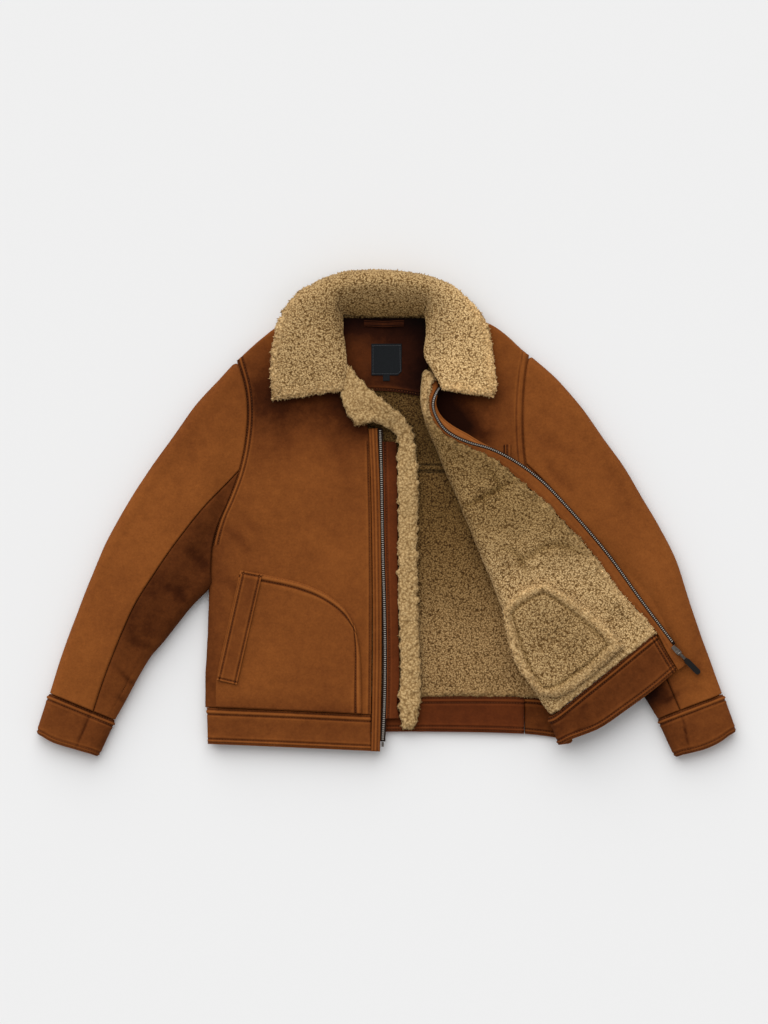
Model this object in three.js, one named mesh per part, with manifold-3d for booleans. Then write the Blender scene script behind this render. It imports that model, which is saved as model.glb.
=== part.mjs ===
// A shearling jacket that lies open on its back: one front closed, the other folded back over its sleeve.
// Millimetres, +Z up. In the tables x runs right from the centre-back line as seen from above, and y runs up
// from the front hem. Left and right in the names are the wearer's, so the right front lies at negative x.
import * as THREE from "three";
import Module from "manifold-3d";

// Thickness of each kind of wall.
const SHEARLING = 12; // hide with its wool, body panels
const SLEEVE_WALL = 13; // the same hide, wool less pressed
const COLLAR_WALL = 14; // longest wool
const WOOL_EDGE = 13; // turned edge of the wind flap
const HEM_WALL = 11; // hem band, turned hide
const FLIPPED_HEM_WALL = 8;
const CUFF_WALL = 10;
const SINGLE_HIDE = 3; // suede strips, facing and flap
const LABEL = 1.2;
const ZIP_WALL = 2.6;
const ZIP_WIDTH = 5.2;

// Clearances: sewn edges, and layers that lie on each other.
const SEAM = 0.5;
const ARMHOLE_GAP = 1.7;
const UNDERARM_GAP = 2.4;
const LAYER = 0.5;

// Levels of the middle of each wall above the floor.
const FRONT_LEVEL = SHEARLING + LAYER + SHEARLING / 2;
const FRONT_TOP = FRONT_LEVEL + SHEARLING / 2;
const FRONT_HEM_LEVEL = HEM_WALL + 1 + HEM_WALL / 2;
const SLEEVE_HEIGHT = 29.5;
const FLIPPED_LEVEL = SLEEVE_HEIGHT + 1 + SHEARLING / 2;
const FLIPPED_TOP = FLIPPED_LEVEL + SHEARLING / 2;
const FACING_LEVEL = SHEARLING + LAYER + SINGLE_HIDE / 2;

// How far a wall's rim is rounded, and how thick its very edge stays.
const RIM = 9;
const RIM_EDGE = 0.3;
const CELL = 38; // usual size of a face
const NARROW = 26; // a strip under this width has a plain rounded edge

const COLOURS = {
  suede: [0x7d4a24, 0.92],
  wool: [0xb39a69, 1.0],
  metal: [0x55504b, 0.35],
  tab: [0x2c211b, 0.6],
  label: [0x1d1e20, 0.75],
};

/** Rows of numbers as objects with named columns. */
function table(names, rows) {
  const keys = names.split(" ");
  return rows.map((row) => Object.fromEntries(row.map((value, i) => [keys[i], value])));
}

/** A smooth line through a table's points, as a function of the share 0..1 of its length. */
function line(points, level = 0) {
  const through = points.map((p) => new THREE.Vector3(p.x, p.y, p.z ?? level));
  const curve = new THREE.CatmullRomCurve3(through, false, "centripetal");
  return (share) => curve.getPointAt(THREE.MathUtils.clamp(share, 0, 1));
}

/** The stretch of a line between two shares, which may run backwards. */
const stretch = (whole, from, to) => (share) => whole(from + (to - from) * share);

/** A line moved aside by a fixed amount. */
const shifted = (whole, x, y = 0, z = 0) => (share) => whole(share).add(new THREE.Vector3(x, y, z));

/** The share at which a line that climbs in y reaches a height. */
function shareAtY(whole, y) {
  let low = 0;
  let high = 1;
  for (let i = 0; i < 30; i++) {
    const middle = (low + high) / 2;
    if (whole(middle).y < y) low = middle;
    else high = middle;
  }
  return (low + high) / 2;
}

/** The Coons patch between four lines: low and high run across it, left and right run up it. */
function patch(left, right, low, high) {
  const corners = [left(0), right(0), left(1), right(1)];
  return (a, t) => {
    const p = left(t).multiplyScalar(1 - a).addScaledVector(right(t), a);
    p.addScaledVector(low(a), 1 - t).addScaledVector(high(a), t);
    p.addScaledVector(corners[0], -(1 - a) * (1 - t)).addScaledVector(corners[1], -a * (1 - t));
    return p.addScaledVector(corners[2], -(1 - a) * t).addScaledVector(corners[3], -a * t);
  };
}

/** A surface whose rows run through the same places of several lines. */
function loft(lines, closed = false) {
  const rows = new Map();
  return (a, t) => {
    if (!rows.has(t)) {
      const through = lines.map((l) => l(t));
      rows.set(t, new THREE.CatmullRomCurve3(through, closed, "centripetal"));
    }
    return rows.get(t).getPointAt(a);
  };
}

/** A band of a fixed or varying width to the sides of a line, level across. */
function ribbon(middle, width) {
  return (a, t) => {
    const ahead = middle(Math.min(1, t + 0.01)).sub(middle(Math.max(0, t - 0.01)));
    const aside = new THREE.Vector3(ahead.y, -ahead.x, 0).normalize();
    return middle(t).addScaledVector(aside, (a - 0.5) * (typeof width === "function" ? width(t) : width));
  };
}

/** A plan surface laid at a level, which may vary over it. */
const laid = (plan, level) => (a, t) => {
  const p = plan(a, t);
  p.z = typeof level === "function" ? level(p, a, t) : level;
  return p;
};

/** Shares along a length in mm: short steps where the rims round off, even cells between them. */
function steps(length, cell = CELL, rim = RIM) {
  const reach = Math.min(rim, length / 3) / length;
  const inner = Math.max(1, Math.round((length * (1 - 2 * reach)) / cell));
  const middle = Array.from({ length: inner + 1 }, (_, i) => reach + ((1 - 2 * reach) * i) / inner);
  if (length < NARROW) return [0, ...middle, 1];
  return [0, reach * 0.35, ...middle, 1 - reach * 0.35, 1];
}

/** Even shares from one number to another, both included. */
const spread = (from, to, cells) => Array.from({ length: cells + 1 }, (_, i) => from + ((to - from) * i) / cells);

/** Share of the full thickness that is left at a distance from a rim. */
const roundedBy = (distance, rim) =>
  RIM_EDGE + (1 - RIM_EDGE) * Math.sqrt(1 - (1 - Math.min(distance, rim) / rim) ** 2);

/** The length in mm of a surface across and along its middle. */
function sizeOf(surface) {
  const measure = (at) => {
    let sum = 0;
    for (let i = 1; i <= 24; i++) sum += at(i / 24).distanceTo(at((i - 1) / 24));
    return sum;
  };
  return [measure((s) => surface(s, 0.5)), measure((s) => surface(0.5, s))];
}

/** A closed wall on both sides of a surface, with rounded rims. */
function wall(surface, thick, { cell = CELL, cellAlong = cell, rim = RIM, stations = null } = {}) {
  const [wide, long] = sizeOf(surface);
  const across = steps(wide, cell, rim);
  const along = stations ?? steps(long, cellAlong, rim);
  return shell(along.map((t) => across.map((a) => surface(a, t))), thick, { rim });
}

/** A closed wall on both sides of rows of points; a ring closes on itself across. */
function shell(grid, thick, { rim = RIM, ring = false } = {}) {
  const [nt, na] = [grid.length, grid[0].length];
  const at = (i, j) => {
    const column = ring ? (i + na) % na : THREE.MathUtils.clamp(i, 0, na - 1);
    return grid[THREE.MathUtils.clamp(j, 0, nt - 1)][column];
  };
  const fromRim = (points, i) => {
    const sum = (from, to) => {
      let length = 0;
      for (let k = from; k < to; k++) length += points[k].distanceTo(points[k + 1]);
      return length;
    };
    const reach = Math.min(rim, sum(0, points.length - 1) / 3);
    return roundedBy(Math.min(sum(0, i), sum(i, points.length - 1)), reach);
  };
  const above = [];
  const below = [];
  for (let j = 0; j < nt; j++) {
    for (let i = 0; i < na; i++) {
      const dAcross = at(i + 1, j).clone().sub(at(i - 1, j)).normalize();
      const dAlong = at(i, j + 1).clone().sub(at(i, j - 1)).normalize();
      const normal = dAcross.cross(dAlong).normalize();
      const byEnd = fromRim(grid.map((row) => row[i]), j);
      const bySide = ring ? 1 : fromRim(grid[j], i);
      const full = typeof thick === "function" ? thick(at(i, j)) : thick;
      const half = (full / 2) * Math.min(byEnd, bySide);
      above.push(at(i, j).clone().addScaledVector(normal, half));
      below.push(at(i, j).clone().addScaledVector(normal, -half));
    }
  }
  const points = [...above, ...below];
  const under = above.length;
  const index = [];
  const quad = (p, q, r, s) => index.push(p, q, r, p, r, s);
  const columns = ring ? na : na - 1;
  const v = (i, j) => j * na + (i % na);
  for (let j = 0; j < nt - 1; j++) {
    for (let i = 0; i < columns; i++) {
      quad(v(i, j), v(i + 1, j), v(i + 1, j + 1), v(i, j + 1));
      quad(under + v(i, j + 1), under + v(i + 1, j + 1), under + v(i + 1, j), under + v(i, j));
    }
    if (!ring) {
      quad(under + v(0, j), v(0, j), v(0, j + 1), under + v(0, j + 1));
      quad(v(na - 1, j), under + v(na - 1, j), under + v(na - 1, j + 1), v(na - 1, j + 1));
    }
  }
  for (let i = 0; i < columns; i++) {
    quad(under + v(i, 0), under + v(i + 1, 0), v(i + 1, 0), v(i, 0));
    quad(v(i, nt - 1), v(i + 1, nt - 1), under + v(i + 1, nt - 1), under + v(i, nt - 1));
  }
  return outward(points, index);
}

/** An indexed geometry whose faces point out, whichever way the surface ran. */
function outward(points, index) {
  let volume = 0;
  for (let i = 0; i < index.length; i += 3) {
    const [p, q, r] = [points[index[i]], points[index[i + 1]], points[index[i + 2]]];
    volume += p.dot(q.clone().cross(r));
  }
  if (volume < 0) index.reverse();
  const geometry = new THREE.BufferGeometry().setFromPoints(points);
  geometry.setIndex(index);
  return geometry;
}

const jacket = new THREE.Group();
const parts = new THREE.Group();
jacket.add(parts);

/** Adds one named piece. */
function piece(name, geometry, kind, parent = parts) {
  const [color, roughness] = COLOURS[kind];
  const material = new THREE.MeshStandardMaterial({ color, roughness, metalness: kind === "metal" ? 0.9 : 0 });
  const mesh = new THREE.Mesh(geometry, material);
  mesh.name = name;
  parent.add(mesh);
  return mesh;
}

// Side and armhole of the body, from the hem seam up to the shoulder tip; front and back share them.
const RIGHT_SIDE = line(
  table("x y", [
    [-264, 57], [-264, 97], [-261, 172], [-258, 235], [-256, 300], [-247, 334], [-231, 370], [-216, 412],
    [-207, 457], [-204, 498], [-207, 532], [-219, 577],
  ]),
);
const LEFT_SIDE = line(
  table("x y", [
    [271, 60], [268, 128], [261, 218], [252, 278], [234, 338], [218, 390], [211.5, 428], [208.5, 471],
    [208.5, 510], [211, 546], [216, 585],
  ]),
);
const UNDERARM_Y = 238;
const YOKE_SEAM_Y = 409;

/** How far the side edges droop so that front and back close round the flat body like a roll. */
const SIDE_DROOP = 8;
const ARMHOLE_DROOP = 2;
const DROOP_REACH = 26;
function droop(p) {
  const toRight = p.x - RIGHT_SIDE(shareAtY(RIGHT_SIDE, p.y)).x;
  const toLeft = LEFT_SIDE(shareAtY(LEFT_SIDE, p.y)).x - p.x;
  const share = THREE.MathUtils.clamp(Math.min(toRight, toLeft) / DROOP_REACH, 0, 1);
  const most = THREE.MathUtils.lerp(SIDE_DROOP, ARMHOLE_DROOP, THREE.MathUtils.smoothstep(p.y, 200, 330));
  return most * (1 - Math.sqrt(1 - (1 - share) ** 2));
}

const BACK_HEM_SEAM = line(table("x y", [[-264, 67], [-141, 72], [0, 73], [220, 72], [271, 66]]));
const BACK_HEM_EDGE = line(table("x y", [[-262, 8], [-130, 16], [2, 20], [150, 19], [210, 17]]));

function addBack() {
  const lowRight = shareAtY(RIGHT_SIDE, 67);
  const lowLeft = shareAtY(LEFT_SIDE, 66);
  const [seamRight, seamLeft] = [shareAtY(RIGHT_SIDE, YOKE_SEAM_Y), shareAtY(LEFT_SIDE, YOKE_SEAM_Y)];
  const seam = line([RIGHT_SIDE(seamRight), LEFT_SIDE(seamLeft)]);
  const lower = patch(
    stretch(RIGHT_SIDE, lowRight, seamRight),
    stretch(LEFT_SIDE, lowLeft, seamLeft),
    BACK_HEM_SEAM,
    seam,
  );
  const thick = (p) => SHEARLING - droop(p);
  const level = (p) => thick(p) / 2;
  piece("back_panel", wall(laid(lower, level), thick, { cell: 60, cellAlong: 45 }), "wool");
  const shoulders = line(
    table("x y", [
      [-219, 577], [-186, 607], [-148, 633], [-112, 645], [-70, 650], [8, 649], [80, 650], [115, 645],
      [151, 633], [185, 610], [216, 585],
    ]),
  );
  const yoke = patch(
    shifted(stretch(RIGHT_SIDE, seamRight, 1), 0, SEAM),
    shifted(stretch(LEFT_SIDE, seamLeft, 1), 0, SEAM),
    shifted(seam, 0, SEAM),
    shifted(shoulders, 0, SEAM),
  );
  piece("back_yoke", wall(laid(yoke, level), thick, { cell: 60, cellAlong: 36 }), "wool");
  const hem = patch(
    line([BACK_HEM_EDGE(0), RIGHT_SIDE(lowRight)]),
    line(table("x y", [[210, 17], [210, 71.5]])),
    BACK_HEM_EDGE,
    shifted(stretch(BACK_HEM_SEAM, 0, 0.886), 0, -SEAM),
  );
  const hemThick = (p) => HEM_WALL - 0.5 * droop(p);
  const hemLevel = (p) => hemThick(p) / 2;
  const hemBand = shiftedSurface(laid(hem, hemLevel), 0, -SEAM);
  piece("back_hem", wall(hemBand, hemThick, { cell: 46, cellAlong: 30, rim: 6 }), "suede");
}

/** A surface moved aside by a fixed amount. */
function shiftedSurface(surface, x, y) {
  return (a, t) => surface(a, t).add(new THREE.Vector3(x, y, 0));
}

// The closed front, its hem, placket and pocket.
const RIGHT_ZIP = line(
  table("x y", [[-2, 6], [0.7, 67], [1.5, 125], [0.7, 201], [-1.5, 277], [-3, 351], [-4, 408], [-6, 475]]),
);
const PLACKET_WIDTH = 12.4;
const RIGHT_PUFF = 4.5; // how far air lifts the middle of the closed front

/** Middle of the closed front's wall above the floor, at a place on it. */
function rightFrontLevel(p) {
  const inward = THREE.MathUtils.clamp((p.x + 262) / 240, 0, 1);
  const upward = THREE.MathUtils.clamp((p.y - 40) / 560, 0, 1);
  return FRONT_LEVEL + RIGHT_PUFF * Math.sin(Math.PI * inward) * Math.sin(Math.PI * upward) - droop(p);
}

function addRightFront() {
  const inner = line(
    table("x y", [
      [-20, 46], [-19, 142], [-19, 277], [-21, 397], [-25, 475], [-34, 500], [-51, 535], [-64, 577], [-75, 618],
      [-99, 646],
    ]),
  );
  const hemSeam = line(table("x y", [[-264, 57], [-141, 52], [-20, 46]]));
  const shoulder = line(table("x y", [[-219, 577], [-186, 607], [-148, 634], [-99, 646]]));
  const plan = patch(RIGHT_SIDE, inner, hemSeam, shoulder);
  piece("right_front", wall(laid(plan, rightFrontLevel), SHEARLING, { cell: 50, cellAlong: 34 }), "suede");

  const hemLine = line(table("x y", [[-263, 2], [-141, -3], [-20, -8.5]]));
  const hem = patch(
    line([hemLine(0), hemSeam(0)]),
    line([hemLine(1), hemSeam(1)]),
    hemLine,
    hemSeam,
  );
  const hemLevel = (p) => FRONT_HEM_LEVEL - 0.5 * droop(p);
  const hemBand = shiftedSurface(laid(hem, hemLevel), 0, -SEAM);
  piece("right_hem", wall(hemBand, HEM_WALL, { cell: 46, cellAlong: 30, rim: 6 }), "suede");

  const placketMiddle = line(
    table("x y", [[-12.6, -9], [-11, 67], [-10, 142], [-10.8, 277], [-13.2, 397], [-16.5, 475]]),
  );
  const placket = laid(ribbon(placketMiddle, PLACKET_WIDTH), FRONT_LEVEL);
  piece("right_placket", wall(placket, SHEARLING - 2, { cell: 9, cellAlong: 60, rim: 4 }), "suede");
  const zip = laid(ribbon(RIGHT_ZIP, ZIP_WIDTH), FRONT_LEVEL);
  piece("right_zip", wall(zip, ZIP_WALL, { cell: 9, cellAlong: 60, rim: 1 }), "metal");
  const pin = new THREE.BoxGeometry(3.4, 7, 4).translate(-2, 1.5, FRONT_LEVEL);
  piece("right_zip_pin", pin, "metal");
}

function addRightPocket() {
  const lift = SHEARLING / 2 + LAYER;
  const pouch = patch(
    line(table("x y", [[-252, 62], [-251, 97], [-234, 180], [-215, 263]])),
    line(table("x y", [[-33, 52], [-34, 100], [-36, 140], [-42, 175]])),
    line(table("x y", [[-252, 62], [-141, 57], [-33, 52]])),
    line(table("x y", [[-215, 263], [-184, 257], [-126, 244], [-88, 228], [-58, 204], [-42, 175]])),
  );
  const pouchWall = 3;
  const pouchLevel = (p) => rightFrontLevel(p) + lift + pouchWall / 2;
  piece("right_pocket", wall(laid(pouch, pouchLevel), pouchWall, { cell: 40, rim: 4 }), "suede");
  const welt = patch(
    line(table("x y", [[-250, 98], [-213, 262]])),
    line(table("x y", [[-220, 91], [-182, 256]])),
    line(table("x y", [[-250, 98], [-220, 91]])),
    line(table("x y", [[-213, 262], [-182, 256]])),
  );
  const weltWall = 3;
  const weltLevel = (p) => rightFrontLevel(p) + lift + pouchWall + LAYER + weltWall / 2;
  piece("right_pocket_welt", wall(laid(welt, weltLevel), weltWall, { cell: 14, cellAlong: 34, rim: 3 }), "suede");
}

// The wind flap behind the zip: a suede strip whose wool edge runs up into the lapel.
const FLAP_EDGE = table("outerX outerY innerX innerY z", [
  [-60, 527, -54, 567, 32],
  [-56, 500, -38, 551, 33.5],
  [-44, 482, -15, 530, 33.5],
  [-18, 483, 5, 514, 33],
  [4.5, 477, 26, 496.5, 26],
  [19.5, 462, 41.5, 474.5, 21],
  [20, 427, 48, 435, 19.5],
  [21, 367, 51, 367, 19.5],
  [21, 277, 49.5, 277, 19.5],
  [22.5, 187, 52, 187, 19.5],
  [25, 97, 55, 97, 19.5],
  [22.5, 63, 53, 58, 19.5],
  [26, 35, 48, 35, 18.5],
  [31, 25, 41, 25, 17.5],
]);

function addWindFlap() {
  const outer = line(FLAP_EDGE.map((r) => ({ x: r.outerX, y: r.outerY, z: r.z })));
  const inner = line(FLAP_EDGE.map((r) => ({ x: r.innerX, y: r.innerY, z: r.z })));
  const edge = (a, t) => outer(t).lerp(inner(t), a);
  piece("wind_flap_wool", wall(edge, WOOL_EDGE, { cell: 14, cellAlong: 22 }), "wool");
  const beside = line(
    table("x y", [[23, 40], [17.5, 58], [21.5, 97], [20.5, 187], [19.5, 277], [19.5, 367], [18.5, 427], [18, 455]]),
  );
  const zipSide = shifted(stretch(RIGHT_ZIP, shareAtY(RIGHT_ZIP, 40), shareAtY(RIGHT_ZIP, 455)), ZIP_WIDTH / 2 + SEAM);
  const strip = patch(zipSide, shifted(beside, -SEAM), line([zipSide(0), beside(0)]), line([zipSide(1), beside(1)]));
  const stripLevel = (p, a) => FRONT_LEVEL - 2 * a;
  piece("wind_flap", wall(laid(strip, stripLevel), SINGLE_HIDE, { cell: 12, cellAlong: 60, rim: 2 }), "suede");
}

// Inside the back neck: suede facing, hanger loop, blank label and size tab.
function addNeck() {
  const facing = patch(
    line(table("x y", [[-45, 530], [-60, 577], [-71, 618], [-78, 640]])),
    line(table("x y", [[53, 523], [60, 556], [70, 574], [84, 604], [92, 640]])),
    line(table("x y", [[-45, 530], [-8, 531], [27, 528], [53, 523]])),
    line(table("x y", [[-78, 640], [8, 640], [92, 640]])),
  );
  piece("neck_facing", wall(laid(facing, FACING_LEVEL), SINGLE_HIDE, { cell: 30, rim: 3 }), "suede");
  const top = FACING_LEVEL + SINGLE_HIDE / 2 + LAYER;
  const cut = 6;
  const outline = new THREE.Shape();
  outline.moveTo(-19, 601.5).lineTo(-19, 554).lineTo(26.5 - cut, 554).lineTo(26.5, 554 + cut).lineTo(26.5, 601.5);
  outline.closePath();
  const label = new THREE.ExtrudeGeometry(outline, { depth: LABEL, bevelEnabled: false });
  piece("neck_label", label.translate(0, 0, top), "label");
  piece("size_tab", new THREE.BoxGeometry(10, 7.5, LABEL).translate(3.5, 549.6, top + LABEL / 2), "label");
  const arch = line(table("x y z", [
    [-30, 632, top + 1], [-22, 632, top + 1.2], [0, 631, top + 2.4], [22, 632, top + 1.2], [30, 632, top + 1],
  ]));
  piece("hanger_loop", wall(ribbon(arch, 9), 1.8, { cell: 6, cellAlong: 12, rim: 1 }), "suede");
}

// The collar: the wall rises from the neck seam at the foot, rolls over at the crown and falls to its edge.
const COLLAR = table("footX footY footZ crownX crownY crownZ fallX fallY fallZ edgeX edgeY edgeZ", [
  [-64, 530, 33, -80, 529, 37, -125, 522, 36, -166, 518, 33],
  [-57, 563, 33, -76, 563, 38, -125, 561, 37, -169, 560, 33],
  [-65, 628, 33, -83, 629, 39, -122, 632, 37, -158, 634, 32],
  [-68, 650, 30, -82, 661, 43, -108, 668, 40, -134, 670, 28],
  [-58, 649, 17.5, -72, 681, 45, -86, 689, 37, -93, 691, 14],
  [-40, 645, 13.9, -50, 691, 46, -57, 700, 36, -60, 702, 10],
  [8, 644, 13.8, 8, 695, 47, 9, 703, 37, 9, 704, 9],
  [50, 645, 13.9, 62, 685, 46, 73, 692, 36, 78, 692, 12],
  [62, 649, 18, 78, 670, 45, 101, 674, 39, 119, 669, 24],
  [67, 630, 30, 84, 636, 41, 118, 640, 39, 148, 641, 31],
  [64, 605, 33, 81, 604, 39, 122, 602, 37, 161, 599, 32],
  [61, 583, 36, 79, 579, 40, 122, 573, 37, 164, 567, 33],
  [74, 560, 42, 90, 556, 44, 128, 548, 40, 167, 541, 34],
  [90, 534, 44, 102, 530, 45, 134, 526, 41, 162, 522, 35],
]);

function addCollar() {
  const column = (name) => line(COLLAR.map((r) => ({ x: r[name + "X"], y: r[name + "Y"], z: r[name + "Z"] })));
  const [foot, crown, fall, edge] = ["foot", "crown", "fall", "edge"].map(column);
  const rise = (t) => foot(t).lerp(crown(t), 0.45).add(new THREE.Vector3(0, 0, 2));
  piece("collar", wall(loft([foot, rise, crown, fall, edge]), COLLAR_WALL, { cell: 17, cellAlong: 27 }), "wool");
}

// The flipped front: it lies suede up from the armhole to the fold, rolls over and runs wool up to its zip.
const FOLD_RADIUS = (FLIPPED_LEVEL - FRONT_LEVEL) / 2;
const FOLD_SIDE = line(
  table("x y", [
    [61, 561], [55.5, 535], [55.5, 517], [61.5, 492], [72, 457], [90, 414], [117, 351], [147, 277], [174, 213],
    [194, 150], [217, 94], [250, 44],
  ]),
);
const WOOL_LINE = table("x y z", [
  [76, 547, 30], [69.5, 533, 42], [67, 514, 49], [70, 494, 50], [80, 476, 48], [99, 460, 45], [124, 447, 41],
  [147, 436, 38.5], [170, 424, FLIPPED_LEVEL], [204, 396, FLIPPED_LEVEL], [234, 370, FLIPPED_LEVEL],
  [279, 324, FLIPPED_LEVEL], [320, 277, FLIPPED_LEVEL], [352, 232, FLIPPED_LEVEL], [382, 199, FLIPPED_LEVEL],
  [408, 169, FLIPPED_LEVEL],
]);
const LEFT_WOOL = line(WOOL_LINE);
const ZIP_LINE = table("x y z", [
  [81, 537, 35], [76, 529, 45], [71, 515, 51], [71, 504, 52], [76, 490, 51], [87, 473, 49], [103, 461, 47],
  [126, 451, 43], [160, 441, 39.5], [195, 423, 37], [232, 396, 36], [277, 350, 36], [331, 287, 36],
  [384, 214, 36], [426, 158, 36],
]);

/** Rows of the flipped front: over the body to the fold, round it, and back over to the wool's edge. */
function leftFrontRow(t) {
  const half = SHEARLING / 2;
  const [side, fold, wool] = [LEFT_SIDE(1 - t), FOLD_SIDE(t), LEFT_WOOL(t)];
  const wide = Math.hypot(wool.x - fold.x, wool.y - fold.y);
  const towards = new THREE.Vector3(wool.x - fold.x, wool.y - fold.y, 0).normalize();
  const crest = THREE.MathUtils.lerp(wool.z, FLIPPED_LEVEL, THREE.MathUtils.smoothstep(wide, 20, 70));
  const rise = Math.min(FOLD_RADIUS, (crest - FRONT_LEVEL) / 2);
  const over = Math.min(FOLD_RADIUS, wide - half);
  const bent = (inset, z) => new THREE.Vector3(fold.x, fold.y, z).addScaledVector(towards, half + inset);
  const roll = [
    bent(FOLD_RADIUS, FRONT_LEVEL),
    bent(FOLD_RADIUS * 0.3, FRONT_LEVEL + rise * 0.3),
    bent(0, (FRONT_LEVEL + crest) / 2),
    bent(over * 0.3, crest - rise * 0.3),
  ];
  const crown = bent(over, crest);
  const shoulder = Math.exp(-t / 0.07); // the first rows bend round the shoulder seam and the neckline
  const outer = new THREE.Vector3(side.x, side.y, FRONT_LEVEL - droop(side));
  const inner = roll[0];
  const drawn = (share, bendX, bendY) => {
    const p = side.clone().lerp(fold, share);
    return new THREE.Vector3(p.x + bendX * shoulder, p.y + bendY * shoulder, FRONT_LEVEL);
  };
  const under = new THREE.CatmullRomCurve3([outer, drawn(0.33, -15, 55), drawn(0.68, -22, 42), inner], false, "centripetal");
  const rimShare = RIM / under.getLength();
  const flat = [0, rimShare * 0.35, ...spread(rimShare, 1, 4).slice(0, -1)].map((share) => {
    const p = under.getPointAt(share);
    return p.setZ(FRONT_LEVEL - droop(p));
  });
  const top = wool.distanceTo(crown);
  const edge = top > 3 * RIM ? RIM / top : 1 / 3;
  const flipped = [...spread(0, 1 - edge, 3), 1 - edge * 0.35, 1].map((s) => crown.clone().lerp(wool, s));
  return [...flat, ...roll, ...flipped];
}

function addLeftFront() {
  const stations = [0, 0.006, 0.016, ...spread(0.035, 0.21, 7), ...spread(0.27, 0.984, 12), 0.994, 1];
  piece("left_front", shell(stations.map(leftFrontRow), SHEARLING), "wool");

  const corner = table("x y z", [[424, 139, 36], [440, 113, 36]]);
  const zipCorner = table("x y z", [[438, 141, 36], [452, 121, 36]]);
  const woolSide = line([...WOOL_LINE.map((r) => ({ ...r, z: r.z - 0.5 })), ...corner]);
  const zipSide = line([...ZIP_LINE, ...zipCorner]);
  const strip = (a, t) => {
    const [from, to] = [woolSide(t), zipSide(t)];
    const wide = from.distanceTo(to);
    return from.lerp(to, (SEAM * 4 + (wide - 5 * SEAM) * a) / wide);
  };
  const bends = [0, 0.01, ...spread(0.03, 0.2, 8), ...spread(0.26, 0.99, 11), 1];
  piece("left_zip_facing", wall(strip, SINGLE_HIDE, { cell: 20, rim: 1.5, stations: bends }), "suede");

  const zip = line(ZIP_LINE);
  const zipBand = shiftedAside(zip, -(ZIP_WIDTH / 2 + 2 * SEAM));
  piece("left_zip", wall(ribbon(zipBand, ZIP_WIDTH), ZIP_WALL, { cell: 20, rim: 1, stations: bends }), "metal");

  const welt = patch(
    line(table("x y", [[179, 412], [179, 450]])),
    line(table("x y", [[190, 407], [190, 451]])),
    line(table("x y", [[179, 412], [190, 407]])),
    line(table("x y", [[179, 450], [190, 451]])),
  );
  piece("chest_welt", wall(laid(welt, FRONT_TOP + LAYER + 1.2), 2.4, { cell: 8, cellAlong: 20, rim: 2 }), "suede");
}

/** A line moved sideways in plan, square to its own direction; positive is to the right of its run. */
function shiftedAside(whole, amount) {
  return (t) => ribbon(whole, 2 * Math.abs(amount))(amount > 0 ? 1 : 0, t);
}

// The left hem band: from the side seam in the bottom layer, back at the side, and over with the flipped front.
const LEFT_HEM = table("seamX seamY edgeX edgeY z", [
  [211, 71.5, 211, 17, 4.7],
  [238, 69, 240, 14, 4.7],
  [258, 62, 264, 10, 4.7],
  [269, 56, 275, 7, 7.4],
  [273, 51, 279, 4, 12],
  [269, 47, 277, 2.5, 16.6],
  [261, 45, 272, 2, 19.4],
  [252, 43, 267, 1.5, 23],
  [248.5, 42, 264.5, 1.5, 28.5],
  [253, 43, 268, 2.5, 34],
  [263, 50, 277, 8, FLIPPED_LEVEL],
  [300, 80, 322, 26, FLIPPED_LEVEL],
  [340, 112, 362, 53, FLIPPED_LEVEL],
  [380, 145, 405, 85, FLIPPED_LEVEL],
  [406, 166, 438, 113, FLIPPED_LEVEL],
]);

function addLeftHem() {
  const across = [0, 0.04, 0.1, 0.5, 0.9, 0.96, 1];
  const row = (r) => {
    const seam = new THREE.Vector3(r.seamX, r.seamY - SEAM, r.z);
    const edge = new THREE.Vector3(r.edgeX, r.edgeY, r.z);
    return across.map((share) => seam.clone().lerp(edge, share));
  };
  piece("left_hem", shell(LEFT_HEM.map(row), FLIPPED_HEM_WALL, { rim: 5 }), "suede");
}

/** The woolly pocket bag that lies on the inside of the flipped front. */
function addLeftPocketBag() {
  const thick = 11;
  const bag = patch(
    line(table("x y", [[178, 200], [188, 150], [204, 112], [232, 78]])),
    line(table("x y", [[240, 243], [285, 217], [330, 180], [358, 150]])),
    line(table("x y", [[232, 78], [258, 74], [300, 98], [358, 150]])),
    line(table("x y", [[178, 200], [192, 222], [220, 238], [240, 243]])),
  );
  const flipped = (a, t) => bag(a, 1 - t);
  const bagLevel = FLIPPED_TOP + LAYER + thick / 2;
  piece("left_pocket_bag", wall(laid(flipped, bagLevel), thick, { cell: 24, rim: 11 }), "wool");
}

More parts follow.
